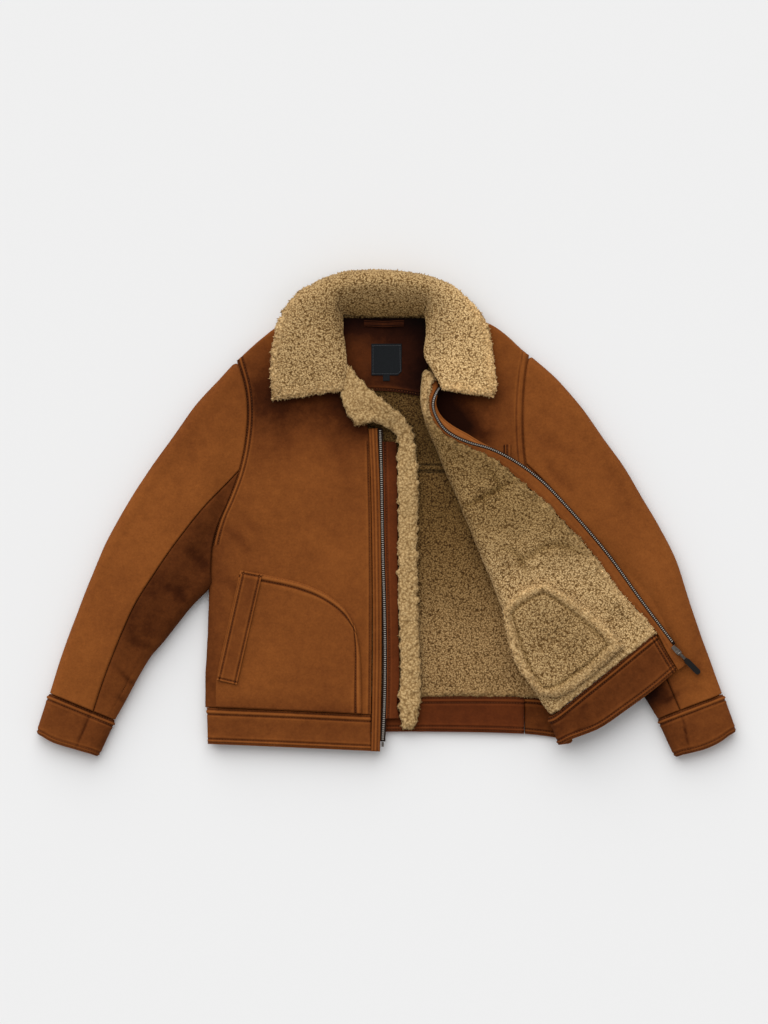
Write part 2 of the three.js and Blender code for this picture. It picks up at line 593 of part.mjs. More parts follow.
// Sleeves: each ring runs over the top, round both edges and along the floor; the two-piece seam splits it.
const besideArmhole = (side, sign) => (share) => {
  const p = stretch(side, 1, shareAtY(side, UNDERARM_Y))(share);
  return p.setX(p.x + sign * (ARMHOLE_GAP + UNDERARM_GAP * share ** 4));
};
const SLEEVES = {
  right: {
    outer: table("x y", [
      [-221, 577], [-247, 549], [-282, 511], [-316, 463], [-351, 415], [-386, 360], [-413, 312], [-437, 257],
      [-463, 191], [-485, 130], [-501, 78],
    ]),
    inner: table("x y", [[-263, 236], [-297, 200], [-335, 151], [-354, 128], [-390, 61], [-403, 38]]),
    armhole: besideArmhole(RIGHT_SIDE, -1),
    seamStart: 0.48,
    seamEnd: 0.67,
    seamPower: 2,
    crown: 10,
    crownEnds: [0.96, 0.96],
    cuffEnd: table("x y", [[-520, 19], [-500, 6], [-460, -7], [-428, -16]]),
  },
  left: {
    outer: table("x y", [
      [218, 583], [257, 549], [294, 507], [326, 462], [359, 417], [386, 371], [412, 328], [437, 278],
      [453, 229], [471, 176], [489, 127], [507, 77],
    ]),
    inner: table("x y", [[265, 236], [298, 198], [334, 150], [354, 128], [392, 70], [410, 40]]),
    armhole: besideArmhole(LEFT_SIDE, 1),
    seamStart: 0.465,
    seamEnd: 0.655,
    seamPower: 1.3,
    crown: 7,
    crownEnds: [0.6, 0.32],
    cuffEnd: table("x y", [[527, 22], [504, 5], [480, -6], [436, -17]]),
  },
};
const CUFF_HEIGHT = 23.5;
const UNDER_LIP = 44;
const FLOOR_START = 0.012; // the lower layer starts a little further from the body

/** Plan place of a share across a sleeve, 0 at its outer edge, at a share down its length. */
function sleevePlan({ outer, inner, armhole }) {
  const [outerLine, innerLine] = [line(outer), line(inner)];
  return patch(outerLine, innerLine, armhole, line([outerLine(1), innerLine(1)]));
}

/** The round edge of a flat ring at one side: shares across and levels, from the top down to the floor. */
function roundEdge(width, thick, height, far) {
  const radius = (height - thick) / 2;
  return [90, 40, -40, -90].map((degrees) => {
    const angle = THREE.MathUtils.degToRad(degrees);
    const share = (thick / 2 + radius * (1 - Math.cos(angle))) / width;
    return [far ? 1 - share : share, height / 2 + radius * Math.sin(angle)];
  });
}

/** A row of points of a ring: shares across it and levels, at a share down its length. */
const ringRow = (plan, t, section) =>
  section.map(([share, z]) => {
    const p = plan(share, z < FRONT_LEVEL - 6 ? FLOOR_START + (1 - FLOOR_START) * t : t);
    return new THREE.Vector3(p.x, p.y, z);
  });

/** How far the rounded top of a sleeve rises over its edges, at shares across it and down its length. */
function crownAt({ crown, crownEnds }, share, t) {
  const start = 0.1;
  const end = THREE.MathUtils.lerp(...crownEnds, THREE.MathUtils.smoothstep(t, 0.05, 0.8));
  const across = THREE.MathUtils.clamp((share - start) / (end - start), 0, 1);
  const along = THREE.MathUtils.smoothstep(t, 0.03, 0.24) * (1 - 0.7 * THREE.MathUtils.smoothstep(t, 0.76, 1));
  return crown * Math.sin(Math.PI * across) * along;
}

function addSleeve(side) {
  const cut = SLEEVES[side];
  const plan = sleevePlan(cut);
  const wall = SLEEVE_WALL;
  const section = (t, top) => {
    const fromBody = THREE.MathUtils.smoothstep(t, 0, 0.16);
    const toCuff = THREE.MathUtils.smoothstep(t, 0.75, 1);
    const height = SLEEVE_HEIGHT - 3.5 * (1 - fromBody) - 3.4 * toCuff;
    const width = plan(0, t).distanceTo(plan(1, t));
    const [rim, gap] = [RIM / width, SEAM / width];
    const seam = cut.seamStart + (cut.seamEnd - cut.seamStart) * t ** cut.seamPower;
    const lip = UNDER_LIP / width; // how far the top panel turns under the outer edge
    const [above, floor] = [height - wall / 2, wall / 2];
    const bend = roundEdge(width, wall, height, !top);
    const flat = (shares, level) => shares.map((share) => [share, level]);
    const [start, toEdge] = top ? [seam - gap, -1] : [seam + gap, 1];
    const end = top ? lip - gap : lip + gap;
    const onTop = [start, start + 0.35 * rim * toEdge, ...spread(start + rim * toEdge, bend[0][0], 5).slice(0, -1)];
    const onFloor = [...spread(bend.at(-1)[0], end + rim * toEdge, top ? 1 : 4).slice(1), end + 0.35 * rim * toEdge, end];
    const crowned = onTop.map((share) => [share, above + crownAt(cut, share, t)]);
    return [...crowned, ...bend, ...flat(onFloor, floor)];
  };
  const stations = [0, 0.006, 0.016, ...spread(0.06, 0.984, 9), 0.994, 1];
  const rows = (top) => stations.map((t) => ringRow(plan, t, section(t, top)));
  piece(side + "_sleeve_top", shell(rows(true), wall), "suede");
  piece(side + "_sleeve_under", shell(rows(false), wall), "suede");
  addCuff(side, plan, cut.cuffEnd);
}

/** The cuff: a flattened ring that carries on from the sleeve's last row, a little wider than it. */
function addCuff(side, plan, end) {
  const endLine = line(end);
  const seamLine = line(spread(0, 1, 4).map((share) => plan(share, 1)));
  const wider = (a, t) => {
    const share = 0.014 + 0.986 * t;
    const along = (s) => seamLine(s).lerp(endLine(s), share);
    const across = along(1).sub(along(0)).normalize();
    return along(a).addScaledVector(across, (a - 0.5) * 2);
  };
  const row = (t) => {
    const width = wider(0, t).distanceTo(wider(1, t));
    const near = roundEdge(width, CUFF_WALL, CUFF_HEIGHT, false);
    const far = roundEdge(width, CUFF_WALL, CUFF_HEIGHT, true);
    const middle = [0.37, 0.63];
    const onTop = middle.map((share) => [share, near[0][1]]);
    const onFloor = middle.toReversed().map((share) => [share, near[3][1]]);
    return ringRow(wider, t, [...onTop, ...far, ...onFloor, ...near.toReversed()]);
  };
  const stations = [0, 0.04, 0.12, 0.5, 0.88, 0.96, 1];
  piece(side + "_cuff", shell(stations.map(row), CUFF_WALL, { rim: 5, ring: true }), "suede");
}

// The zip slider at the foot of the flipped front, and the pull that turns on its pin.
const SLIDER = { x: 437, y: 143, z: 37.9, turn: -0.79, long: 16, wide: 8, high: 4 };
const PIN = { along: 6.5, up: 7, radius: 0.9 };
const PULL = { slope: 0.24, eyeInner: 1.3, eyeOuter: 2.5, eyeWide: 4, linkLong: 12, tabLong: 32, tabWide: 8.5 };

async function addSlider() {
  const wasm = await Module();
  wasm.setup();
  const { mergeVertices } = await import("three/addons/utils/BufferGeometryUtils.js");
  const solid = (geometry) => {
    const bare = new THREE.BufferGeometry().setAttribute("position", geometry.getAttribute("position"));
    if (geometry.index) bare.setIndex(geometry.index);
    const merged = mergeVertices(bare, 1e-4);
    const vertProperties = merged.attributes.position.array;
    return new wasm.Manifold(new wasm.Mesh({ numProp: 3, vertProperties, triVerts: new Uint32Array(merged.index.array) }));
  };
  const geometryOf = (made) => {
    const mesh = made.getMesh();
    const geometry = new THREE.BufferGeometry();
    geometry.setAttribute("position", new THREE.BufferAttribute(new Float32Array(mesh.vertProperties), 3));
    return geometry.setIndex(new THREE.BufferAttribute(new Uint32Array(mesh.triVerts), 1));
  };
  const across = (radius, long, sides) => new THREE.CylinderGeometry(radius, radius, long, sides);

  const place = new THREE.Group();
  place.position.set(SLIDER.x, SLIDER.y, SLIDER.z);
  place.rotation.z = SLIDER.turn;
  parts.add(place);
  const shape = new THREE.Shape();
  shape.moveTo(-SLIDER.long / 2, -SLIDER.wide / 2 + 1);
  shape.lineTo(SLIDER.long / 2 - 3, -SLIDER.wide / 2).lineTo(SLIDER.long / 2, -SLIDER.wide / 2 + 2);
  shape.lineTo(SLIDER.long / 2, SLIDER.wide / 2 - 2).lineTo(SLIDER.long / 2 - 3, SLIDER.wide / 2);
  shape.lineTo(-SLIDER.long / 2, SLIDER.wide / 2 - 1).closePath();
  let body = solid(new THREE.ExtrudeGeometry(shape, { depth: SLIDER.high, bevelEnabled: false }));
  for (const sign of [-1, 1]) {
    const lug = new THREE.BoxGeometry(4, 1.2, PIN.up - 2 + 1.6).translate(PIN.along - 0.5, sign * 3, (PIN.up + 3) / 2);
    body = body.add(solid(lug));
  }
  body = body.add(solid(across(PIN.radius, 6, 16).translate(PIN.along, 0, PIN.up)));
  piece("zip_slider", geometryOf(body), "metal", place);

  const pull = new THREE.Group();
  pull.position.set(PIN.along, 0, PIN.up);
  pull.rotation.y = PULL.slope;
  place.add(pull);
  const eye = solid(across(PULL.eyeOuter, PULL.eyeWide, 20)).subtract(solid(across(PULL.eyeInner, PULL.eyeWide + 2, 20)));
  const bar = solid(new THREE.BoxGeometry(PULL.linkLong - 2, PULL.eyeWide, 1.6).translate(PULL.linkLong / 2 + 1, 0, 0));
  piece("pull_link", geometryOf(eye.add(bar)), "metal", pull);
  const tabShape = new THREE.Shape();
  const start = PULL.linkLong + 0.4;
  const end = PULL.linkLong + PULL.tabLong;
  const round = PULL.tabWide / 2;
  tabShape.moveTo(start, -round * 0.6).lineTo(start + 5, -round).lineTo(end - round, -round);
  tabShape.absarc(end - round, 0, round, -Math.PI / 2, Math.PI / 2, false);
  tabShape.lineTo(start + 5, round).lineTo(start, round * 0.6).closePath();
  const tab = new THREE.ExtrudeGeometry(tabShape, { depth: 3, bevelEnabled: false, curveSegments: 8 });
  piece("pull_tab", tab.translate(0, 0, -1.5), "tab", pull);
}

addBack();
addRightFront();
addRightPocket();
addWindFlap();
addNeck();
addCollar();
addLeftFront();
addLeftHem();
addLeftPocketBag();
addSleeve("right");
addSleeve("left");
await addSlider();

// The origin is under the middle of the whole jacket, on the floor.
const bounds = new THREE.Box3().setFromObject(parts, true);
const centre = bounds.getCenter(new THREE.Vector3());
parts.position.set(-centre.x, -centre.y, -bounds.min.z);

export default jacket;
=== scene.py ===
import math

import bpy
import numpy as np
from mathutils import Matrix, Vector


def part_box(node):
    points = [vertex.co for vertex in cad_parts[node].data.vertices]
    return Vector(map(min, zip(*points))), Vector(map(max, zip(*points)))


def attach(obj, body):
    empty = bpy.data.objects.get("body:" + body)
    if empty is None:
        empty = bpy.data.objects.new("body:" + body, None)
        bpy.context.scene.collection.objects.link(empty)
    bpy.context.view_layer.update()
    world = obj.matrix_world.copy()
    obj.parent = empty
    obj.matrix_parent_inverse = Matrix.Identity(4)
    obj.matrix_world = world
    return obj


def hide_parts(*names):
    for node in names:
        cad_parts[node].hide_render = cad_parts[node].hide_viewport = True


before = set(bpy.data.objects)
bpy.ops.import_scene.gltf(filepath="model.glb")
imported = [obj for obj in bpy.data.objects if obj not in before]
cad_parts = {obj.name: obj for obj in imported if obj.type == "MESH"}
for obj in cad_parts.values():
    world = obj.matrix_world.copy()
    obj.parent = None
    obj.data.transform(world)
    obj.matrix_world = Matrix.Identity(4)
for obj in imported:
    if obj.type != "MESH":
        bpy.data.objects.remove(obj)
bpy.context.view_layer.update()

BODY = "garment"

# All tables are in millimetres in the jacket's own plan, x right from the centre back, y up from the hem.
label_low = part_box("neck_label")[0]
SHIFT = np.array([label_low[0] * 1000 + 19.0, label_low[1] * 1000 - 554.0, 0.0])

SHEARLING = 12.0
SLEEVE_WALL = 13.0
COLLAR_WALL = 14.0
HEM_WALL = 11.0
CUFF_WALL = 10.0
SINGLE_HIDE = 3.0
LIP_WALL = 1.8
FRONT_LEVEL = SHEARLING + 0.5 + SHEARLING / 2
FRONT_TOP = FRONT_LEVEL + SHEARLING / 2
FRONT_HEM_LEVEL = HEM_WALL + 1 + HEM_WALL / 2
SLEEVE_HEIGHT = 29.5
CUFF_HEIGHT = 23.5
FLIPPED_LEVEL = SLEEVE_HEIGHT + 1 + SHEARLING / 2
FLIPPED_TOP = FLIPPED_LEVEL + SHEARLING / 2
FACING_LEVEL = SHEARLING + 0.5 + SINGLE_HIDE / 2
FOLD_RADIUS = (FLIPPED_LEVEL - FRONT_LEVEL) / 2

WOOL_CELL = 1.9
SUEDE_CELL = 4.6
EDGE_CELL = 1.4
TOOTH_PITCH = 3.1


# ---------------------------------------------------------------- lines and surfaces
def unit(v):
    return v / np.maximum(np.linalg.norm(v, axis=-1, keepdims=True), 1e-9)


def run_lengths(points):
    """The length of a row of points up to each of them."""
    return np.r_[0, np.cumsum(np.linalg.norm(np.diff(points, axis=0), axis=1))]


def read_at(at, steps, points):
    """A row of points read at some of its lengths or shares."""
    return np.stack([np.interp(at, steps, points[:, k]) for k in range(3)], axis=-1)


class Line:
    """A smooth line through points, read at shares of its length."""

    def __init__(self, points, count=900, smooth=True):
        p = np.array([tuple(q) + (0.0,) * (3 - len(q)) for q in points], float)
        if len(p) == 2 or not smooth:
            dense = p
        else:
            ext = np.vstack([2 * p[0] - p[1], p, 2 * p[-1] - p[-2]])
            dense = []
            u = np.linspace(0, 1, 30, endpoint=False)[:, None]
            for k in range(len(p) - 1):
                a, b, c, d = ext[k : k + 4]
                t0, t1, t2 = (max(np.linalg.norm(q - r), 1e-6) ** 0.5 for q, r in ((b, a), (c, b), (d, c)))
                m1 = ((b - a) / t0 - (c - a) / (t0 + t1) + (c - b) / t1) * t1
                m2 = ((c - b) / t1 - (d - b) / (t1 + t2) + (d - c) / t2) * t1
                dense.append(
                    b + m1 * u + (3 * (c - b) - 2 * m1 - m2) * u**2 + (2 * (b - c) + m1 + m2) * u**3
                )
            dense = np.vstack(dense + [p[-1:]])
        steps = run_lengths(dense)
        self.points = read_at(np.linspace(0, steps[-1], count), steps, dense)
        self.shares = np.linspace(0, 1, count)

    def __call__(self, share):
        return read_at(share, self.shares, self.points)

    def share_at_y(self, y):
        return float(np.interp(y, self.points[:, 1], self.shares))

    def part(self, start, end, move=(0, 0, 0)):
        return Moved(self, start, end, np.array(move, float))


class Moved:
    """A stretch of a line, moved aside."""

    def __init__(self, line, start, end, move):
        self.line, self.start, self.end, self.move = line, start, end, move

    def __call__(self, share):
        return self.line(self.start + (self.end - self.start) * np.asarray(share, float)) + self.move


def patch(left, right, low, high):
    """The Coons patch between four lines, as a function of arrays of shares across and along."""

    def at(across, along):
        a, t = across[None, :, None], along[:, None, None]
        p = (1 - a) * left(along)[:, None] + a * right(along)[:, None]
        p = p + (1 - t) * low(across)[None] + t * high(across)[None]
        c = [left(0.0), right(0.0), left(1.0), right(1.0)]
        return p - (1 - a) * (1 - t) * c[0] - a * (1 - t) * c[1] - (1 - a) * t * c[2] - a * t * c[3]

    return at


def outline(left, right, low, high):
    """The patch between four smooth lines, given as points."""
    return patch(Line(left), Line(right), Line(low), Line(high))


def straight_patch(a, b, c, d):
    """The patch between straight lines, from its left corners a and b and its right corners c and d."""
    return outline([a, b], [c, d], [a, c], [b, d])


def aside_of(line, share):
    """The level direction square to a line at some of its shares."""
    ahead = line(np.minimum(1, share + 0.01)) - line(np.maximum(0, share - 0.01))
    return unit(np.stack([ahead[:, 1], -ahead[:, 0], 0 * ahead[:, 0]], axis=1))


def ribbon(middle, width):
    """A level band of a width to both sides of a line."""

    def at(across, along):
        aside = aside_of(middle, along)[:, None]
        return middle(along)[:, None] + aside * ((across - 0.5) * width)[None, :, None]

    return at


def moved_aside(line, amount):
    def at(share):
        share = np.atleast_1d(np.asarray(share, float))
        return line(share) + aside_of(line, share) * amount

    return at


def between(first, second):
    """A surface that runs straight from one line to another."""

    def at(across, along):
        a = across[None, :, None]
        return first(along)[:, None] * (1 - a) + second(along)[:, None] * a

    return at


def bell(x, width):
    """1 at zero, falling off softly over a width to both sides."""
    return np.exp(-((x / width) ** 2))


def smoothstep(x, low, high):
    s = np.clip((x - low) / (high - low), 0, 1)
    return s * s * (3 - 2 * s)


def stations(length, cell, start=None, end=None, fine=EDGE_CELL):
    """Shares along a length: the ends may have a rounded rim and a finely divided strip of a width.
    start and end are (rim, strip) in mm."""
    def edge(spec):
        rim, strip = spec if spec else (0, 0)
        out = list(rim * (1 - np.cos(np.linspace(0, math.pi / 2, 6)))) if rim else [0.0]
        while out[-1] < strip - fine * 0.5:
            out.append(out[-1] + fine)
        return out

    one, two = edge(start), edge(end)
    room = length - one[-1] - two[-1]
    count = max(1, int(round(room / cell)))
    inner = one[-1] + room * np.arange(1, count) / count
    return np.array(one + list(inner) + [length - v for v in two[::-1]]) / length


def lengths(surface):
    n = np.linspace(0, 1, 60)
    middle = np.array([0.5])
    across = np.linalg.norm(np.diff(surface(n, middle)[0], axis=0), axis=1).sum()
    along = np.linalg.norm(np.diff(surface(middle, n)[:, 0], axis=0), axis=1).sum()
    return across, along


# ---------------------------------------------------------------- noise
def cell_noise(p, seed):
    """Distances from each point to the nearest and the second nearest of one random point per unit cell."""
    base = np.floor(p).astype(np.int64)
    one = np.full(len(p), 9.0)
    two = np.full(len(p), 9.0)
    for dx in (-1, 0, 1):
        for dy in (-1, 0, 1):
            for dz in (-1, 0, 1):
                cell = base + (dx, dy, dz)
                code = (cell[:, 0] * 73856093) ^ (cell[:, 1] * 19349663) ^ (cell[:, 2] * 83492791) ^ seed
                d = np.zeros(len(p))
                for axis, prime in enumerate((2654435761, 2246822519, 3266489917)):
                    mixed = (code * prime) & 0xFFFFFFFF
                    mixed = ((mixed ^ (mixed >> 15)) * 2246822507) & 0xFFFFFFFF
                    mixed ^= mixed >> 13
                    spot = cell[:, axis] + (mixed & 0xFFFF) / 65536.0
                    d += (p[:, axis] - spot) ** 2
                nearer = d < one
                two = np.where(nearer, one, np.minimum(two, d))
                one = np.where(nearer, d, one)
    return np.sqrt(one), np.sqrt(two)


def waves(p, size, seed, octaves=3):
    """Soft noise of about -1 to 1 from crossing sine waves. size is the usual distance of crests in mm."""
    rng = np.random.default_rng(seed)
    total = np.zeros(p.shape[:-1])
    for octave in range(octaves):
        for _ in range(5):
            way = rng.normal(size=3)
            way *= 2 * math.pi / (size * 0.62**octave * np.linalg.norm(way))
            total += 0.6**octave * np.sin(p @ way + rng.uniform(0, 6.28)) / 2.2
    return total / 2.0


def wool_height(p, size, seed):
    """Height 0 to 1 of curls at points in mm, and how near each point is to a parting between two of them."""
    bend = np.stack([waves(p, size * 2.3, seed + 11 + i, 2) for i in range(3)], axis=1)
    near, next_near = cell_noise((p + bend * size * 0.4) / size, seed)
    return np.clip(1 - near**2 * 1.15, 0, 1), 1 - smoothstep(next_near - near, 0.0, 0.3)


class Wool:
    """A piece's wool: short curls, longer tufts along its free edges, and places where it parts."""

    def __init__(self, seed, sides=("fine",), curl=3.9, rise=1.0, tuft=5.4, tuft_rise=1.9, parted=()):
        self.seed, self.sides, self.curl, self.rise = seed, sides, curl, rise
        self.tuft, self.tuft_rise, self.parted = tuft, tuft_rise, parted

    def heights(self, p, fluff):
        """Heights 0 to 1 and how far each point moves out, in mm."""
        short = wool_height(p, self.curl, self.seed)[0]
        out = 0.5 + 0.45 * (short - 0.6)
        move = self.rise * (short - 0.6)
        if self.parted:
            flock, parting = wool_height(p, 7.5, self.seed + 5)
            here = np.zeros(len(p))
            for x, y, reach in self.parted:
                here = np.maximum(here, np.exp(-(((p[:, 0] - x) ** 2 + (p[:, 1] - y) ** 2) / reach**2)))
            # the partings are painted darker: painted shade in the cracks
            out -= 0.7 * here * parting
            move += here * (1.4 * (flock - 0.6) - 1.2 * parting)
        busy = fluff > 0.04
        if busy.any():
            long, parting = wool_height(p[busy], self.tuft, self.seed + 9)
            f = fluff[busy]
            out[busy] = (1 - f) * out[busy] + f * (0.3 + 0.5 * long - 0.15 * parting)
            move[busy] = (1 - f) * move[busy] + f * self.tuft_rise * (long - 0.55)
        move = move + 0.5 * waves(p, 34, self.seed + 60, 2) + 0.9 * fluff * waves(p, 15, self.seed + 70, 2)
        return out, move


# ---------------------------------------------------------------- meshes
def new_piece(name, verts, faces, materials, face_slots=None, smooth=True, attributes=None):
    """faces is a list of index lists or an array of quads."""
    mesh = bpy.data.meshes.new(name)
    mesh.from_pydata((verts + SHIFT).astype(float) / 1000.0, [], [list(map(int, f)) for f in faces])
    for material in materials:
        mesh.materials.append(material)
    if face_slots is not None:
        mesh.polygons.foreach_set("material_index", np.asarray(face_slots, np.int32))
    mesh.polygons.foreach_set("use_smooth", np.full(len(mesh.polygons), smooth))
    for key, values in (attributes or {}).items():
        layer = mesh.attributes.new(key, "FLOAT", "POINT")
        layer.data.foreach_set("value", np.asarray(values, np.float32))
    mesh.update()
    obj = bpy.data.objects.new(name, mesh)
    bpy.context.collection.objects.link(obj)
    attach(obj, BODY)
    return obj


def vertex_normals(verts, faces):
    """Area-weighted normals of a mesh of polygons with up to 8 corners."""
    normals = np.zeros_like(verts)
    by_size = {}
    for f in faces:
        by_size.setdefault(len(f), []).append(f)
    for count, group in by_size.items():
        g = np.array(group)
        n = np.zeros((len(g), 3))
        for k in range(1, count - 1):
            n += np.cross(verts[g[:, k]] - verts[g[:, 0]], verts[g[:, k + 1]] - verts[g[:, 0]])
        for k in range(count):
            np.add.at(normals, g[:, k], n)
    return unit(normals)


class Sheet:
    """A closed wall on a grid of points: its fine side, its coarse side and its rims."""

    def __init__(self, grid, thick, rims, ring=False, edge=0.14, skip=(2, 2)):
        nt, na = grid.shape[:2]
        self.grid, self.ring, self.skip = grid, ring, skip
        step_a = np.linalg.norm(np.diff(grid, axis=1), axis=2)
        step_t = np.linalg.norm(np.diff(grid, axis=0), axis=2)
        self.left = np.concatenate([np.zeros((nt, 1)), np.cumsum(step_a, axis=1)], axis=1)
        self.right = self.left[:, -1:] - self.left
        self.low = np.concatenate([np.zeros((1, na)), np.cumsum(step_t, axis=0)], axis=0)
        self.high = self.low[-1:] - self.low
        turn = np.roll(grid, -1, axis=1) - np.roll(grid, 1, axis=1) if ring else np.gradient(grid, axis=1)
        self.across, self.along = unit(turn), unit(np.gradient(grid, axis=0))
        self.normal = unit(np.cross(self.across, self.along))
        share = np.ones((nt, na))
        for distance, rim in zip((self.left, self.right, self.low, self.high), rims):
            if rim and not (ring and distance is not self.low and distance is not self.high):
                near = np.clip(distance / rim, 0, 1)
                share = np.minimum(share, edge + (1 - edge) * np.sqrt(np.clip(1 - (1 - near) ** 2, 0, 1)))
        self.half = thick / 2 * share
        # how far the fine and the coarse side are raised, how much lighter or darker they are painted (mostly
        # painted shade and painted highlights, with some of the wool's own colour), and how long the wool is
        self.lift, self.drop, self.tone, self.back_tone, self.fluff = np.zeros((5, nt, na))
        self.keep_first = 0  # how many of the first columns stay whole on the coarse side
        self.bound = ()  # the sides whose edge shows hide, where it is turned over the wool

    def face_up(self, row, column):
        """Turns the fine side up, judged at one point."""
        if self.normal[row, column, 2] < 0:
            self.normal *= -1

    def groove(self, side, offset, depth=0.8, width=1.1, start=0.0, end=1.0, back=False, dark=1.0):
        """A stitched groove at a distance from one side of the sheet. The groove is painted darker, painted
        shade in its hollow, and a band beside it lighter, a painted highlight.
        """
        distance = getattr(self, side)
        whole = self.low[-1:] if side in ("left", "right") else self.left[:, -1:]
        along = (self.low if side in ("left", "right") else self.left) / np.maximum(whole, 1e-9)
        rising = smoothstep(along, start - 0.004, start + 0.004)
        fade = rising * (1 - smoothstep(along, end - 0.004, end + 0.004))
        if start <= 0 and end >= 1:
            fade = 1.0
        beside = np.abs(distance - offset)
        lift, tone = (self.drop, self.back_tone) if back else (self.lift, self.tone)
        lift -= depth * bell(beside, width) * fade
        lift += 0.55 * depth * bell(beside - 2.6 * width, 1.5 * width) * fade
        # painted shade in the groove, and a painted highlight on the band beside it
        tone -= dark * bell(beside, 1.15 * width) * fade
        tone += 0.4 * bell(beside - 2.4 * width, 1.2 * width) * fade
        return self

    def crease(self, points, depth=1.5, width=4.0):
        """A soft trough, or a ridge where depth is negative, along points in the plan. The trough is painted
        darker, painted shade in the crease, and a ridge lighter, a painted highlight.
        """
        path = Line(points, 40)(np.linspace(0, 1, 24))[:, :2]
        flat = self.grid[..., :2].reshape(-1, 2)
        best = np.full(len(flat), 1e9)
        where = np.zeros(len(flat))
        for k, (a, b) in enumerate(zip(path[:-1], path[1:])):
            way = b - a
            s = np.clip(((flat - a) @ way) / (way @ way), 0, 1)
            d = np.linalg.norm(flat - a - s[:, None] * way, axis=1)
            where = np.where(d < best, (k + s) / (len(path) - 1), where)
            best = np.minimum(best, d)
        taper = np.sin(np.pi * np.clip(where, 0.02, 0.98)) ** 0.6
        amount = (depth * taper * bell(best, width)).reshape(self.lift.shape)
        self.lift -= amount
        self.tone -= 0.3 * amount
        return self

    def roll(self, side, start, end, height, tone=0.25):
        """A raised band between two distances from a side, painted lighter along its crest: a painted
        highlight.
        """
        share = np.clip((getattr(self, side) - start) / (end - start), 0, 1)
        self.lift += height * np.sin(np.pi * share) ** 0.8
        self.tone += tone * np.sin(np.pi * share)
        return self

    def shade(self, points, reach, amount, back=False):
        """Painted shade: a darker tone that fades away from a line in the plan."""
        path = Line(points, 60)(np.linspace(0, 1, 40))[:, :2]
        flat = self.grid[..., :2].reshape(-1, 1, 2)
        best = np.min(np.linalg.norm(flat - path[None], axis=2), axis=1).reshape(self.tone.shape)
        tone = self.back_tone if back else self.tone
        tone -= amount * np.exp(-((best / reach) ** 1.5))
        return self

    def ragged(self, sides, amount=2.0, size=13.0, seed=3):
        """Moves the edges in and out a little, as wool that isn't trimmed straight."""
        for side in sides:
            way = self.across if side in ("left", "right") else self.along
            sign = -1 if side in ("left", "low") else 1
            near = bell(getattr(self, side), 9.0)
            push = sign * amount * near * waves(self.grid, size, seed, 3)
            self.grid = self.grid + way * push[..., None] * np.array([1, 1, 0.3])
        return self

    def tufted(self, sides, reach=14.0):
        """Long wool near some of the sides."""
        nearest = np.full(self.tone.shape, 1e9)
        for side in sides:
            nearest = np.minimum(nearest, getattr(self, side))
        self.fluff = np.maximum(self.fluff, np.exp(-((nearest / reach) ** 2.2)))
        self.free = sides
        return self

    def locks(self, name, seed, per_mm, long, thick, reach, lean=1.0, gather=1.7, wool=None):
        """Small curved locks of wool that stand out along the free sides."""
        rng = np.random.default_rng(seed)
        starts, normals, outs, shares, tones = [], [], [], [], []
        for side in self.free:
            distance = getattr(self, side)
            cross = side in ("left", "right")
            count = self.grid.shape[0] if cross else self.grid.shape[1]
            end = 0 if side in ("left", "low") else -1
            edge = self.fine_points[:, end] if cross else self.fine_points[end]
            number = int(np.linalg.norm(np.diff(edge, axis=0), axis=1).sum() * per_mm)
            where = rng.uniform(0, count - 1, number)
            depth = reach * rng.uniform(0, 1, number) ** gather
            for at, deep in zip(where, depth):
                k, f = int(at), at - int(at)
                rows = []
                for m in (k, min(k + 1, count - 1)):
                    line = distance[m] if cross else distance[:, m]
                    i = int(np.argmin(np.abs(line - deep)))
                    rows.append((m, i) if cross else (i, m))
                p = self.fine_points[rows[0]] * (1 - f) + self.fine_points[rows[1]] * f
                way = self.across[rows[0]] if cross else self.along[rows[0]]
                starts.append(p)
                normals.append(self.fine_normals[rows[0]])
                outs.append(-way if side in ("left", "low") else way)
                shares.append(deep / reach)
                # each lock takes the sheet's tone where it stands, with its painted shade and highlights
                tones.append(self.tone[rows[0]])
        p, n, o = np.array(starts), np.array(normals), np.array(outs)
        share = np.array(shares)[:, None]
        total = len(p)
        wander = rng.normal(size=(total, 3))
        way = unit(n * (0.35 + 0.65 * share) + o * lean * (1.05 - 0.9 * share) + wander * 0.42)
        curl = rng.normal(size=(total, 3)) * 0.35 - n * 0.35
        reach_out = (long * rng.uniform(0.55, 1.15, total) * (1 - 0.35 * share[:, 0]))[:, None]
        p = p - n * 0.9 - o * 0.4
        side_one = unit(np.cross(way, rng.normal(size=(total, 3))))
        side_two = np.cross(way, side_one)
        wide = (thick * rng.uniform(0.75, 1.25, total))[:, None]
        verts = np.zeros((total, 7, 3))
        for k in range(3):
            angle = 2 * math.pi * k / 3
            aside = side_one * math.cos(angle) + side_two * math.sin(angle)
            verts[:, k] = p + aside * wide * 0.9
            verts[:, 3 + k] = p + way * reach_out * 0.55 + curl * reach_out * 0.16 + aside * wide
        verts[:, 6] = p + way * reach_out + curl * reach_out * 0.5
        verts[..., 2] = np.maximum(verts[..., 2], 0.4)
        base = 7 * np.arange(total)[:, None]
        quads = np.concatenate([base + np.array([k, (k + 1) % 3, 3 + (k + 1) % 3, 3 + k]) for k in range(3)])
        tips = np.concatenate([base + np.array([3 + k, 3 + (k + 1) % 3, 6]) for k in range(3)])
        ends = base + np.array([2, 1, 0])
        faces = [list(f) for group in (quads, tips, ends) for f in group]
        pile = np.array([0.15, 0.15, 0.15, 0.6, 0.6, 0.6, 0.85]) + rng.normal(size=(total, 1)) * 0.16
        return new_piece(name, verts.reshape(-1, 3), faces, [wool or WOOL], attributes={
            "pile": pile.ravel(), "fluff": np.ones(7 * total), "tone": np.repeat(tones, 7),
        })

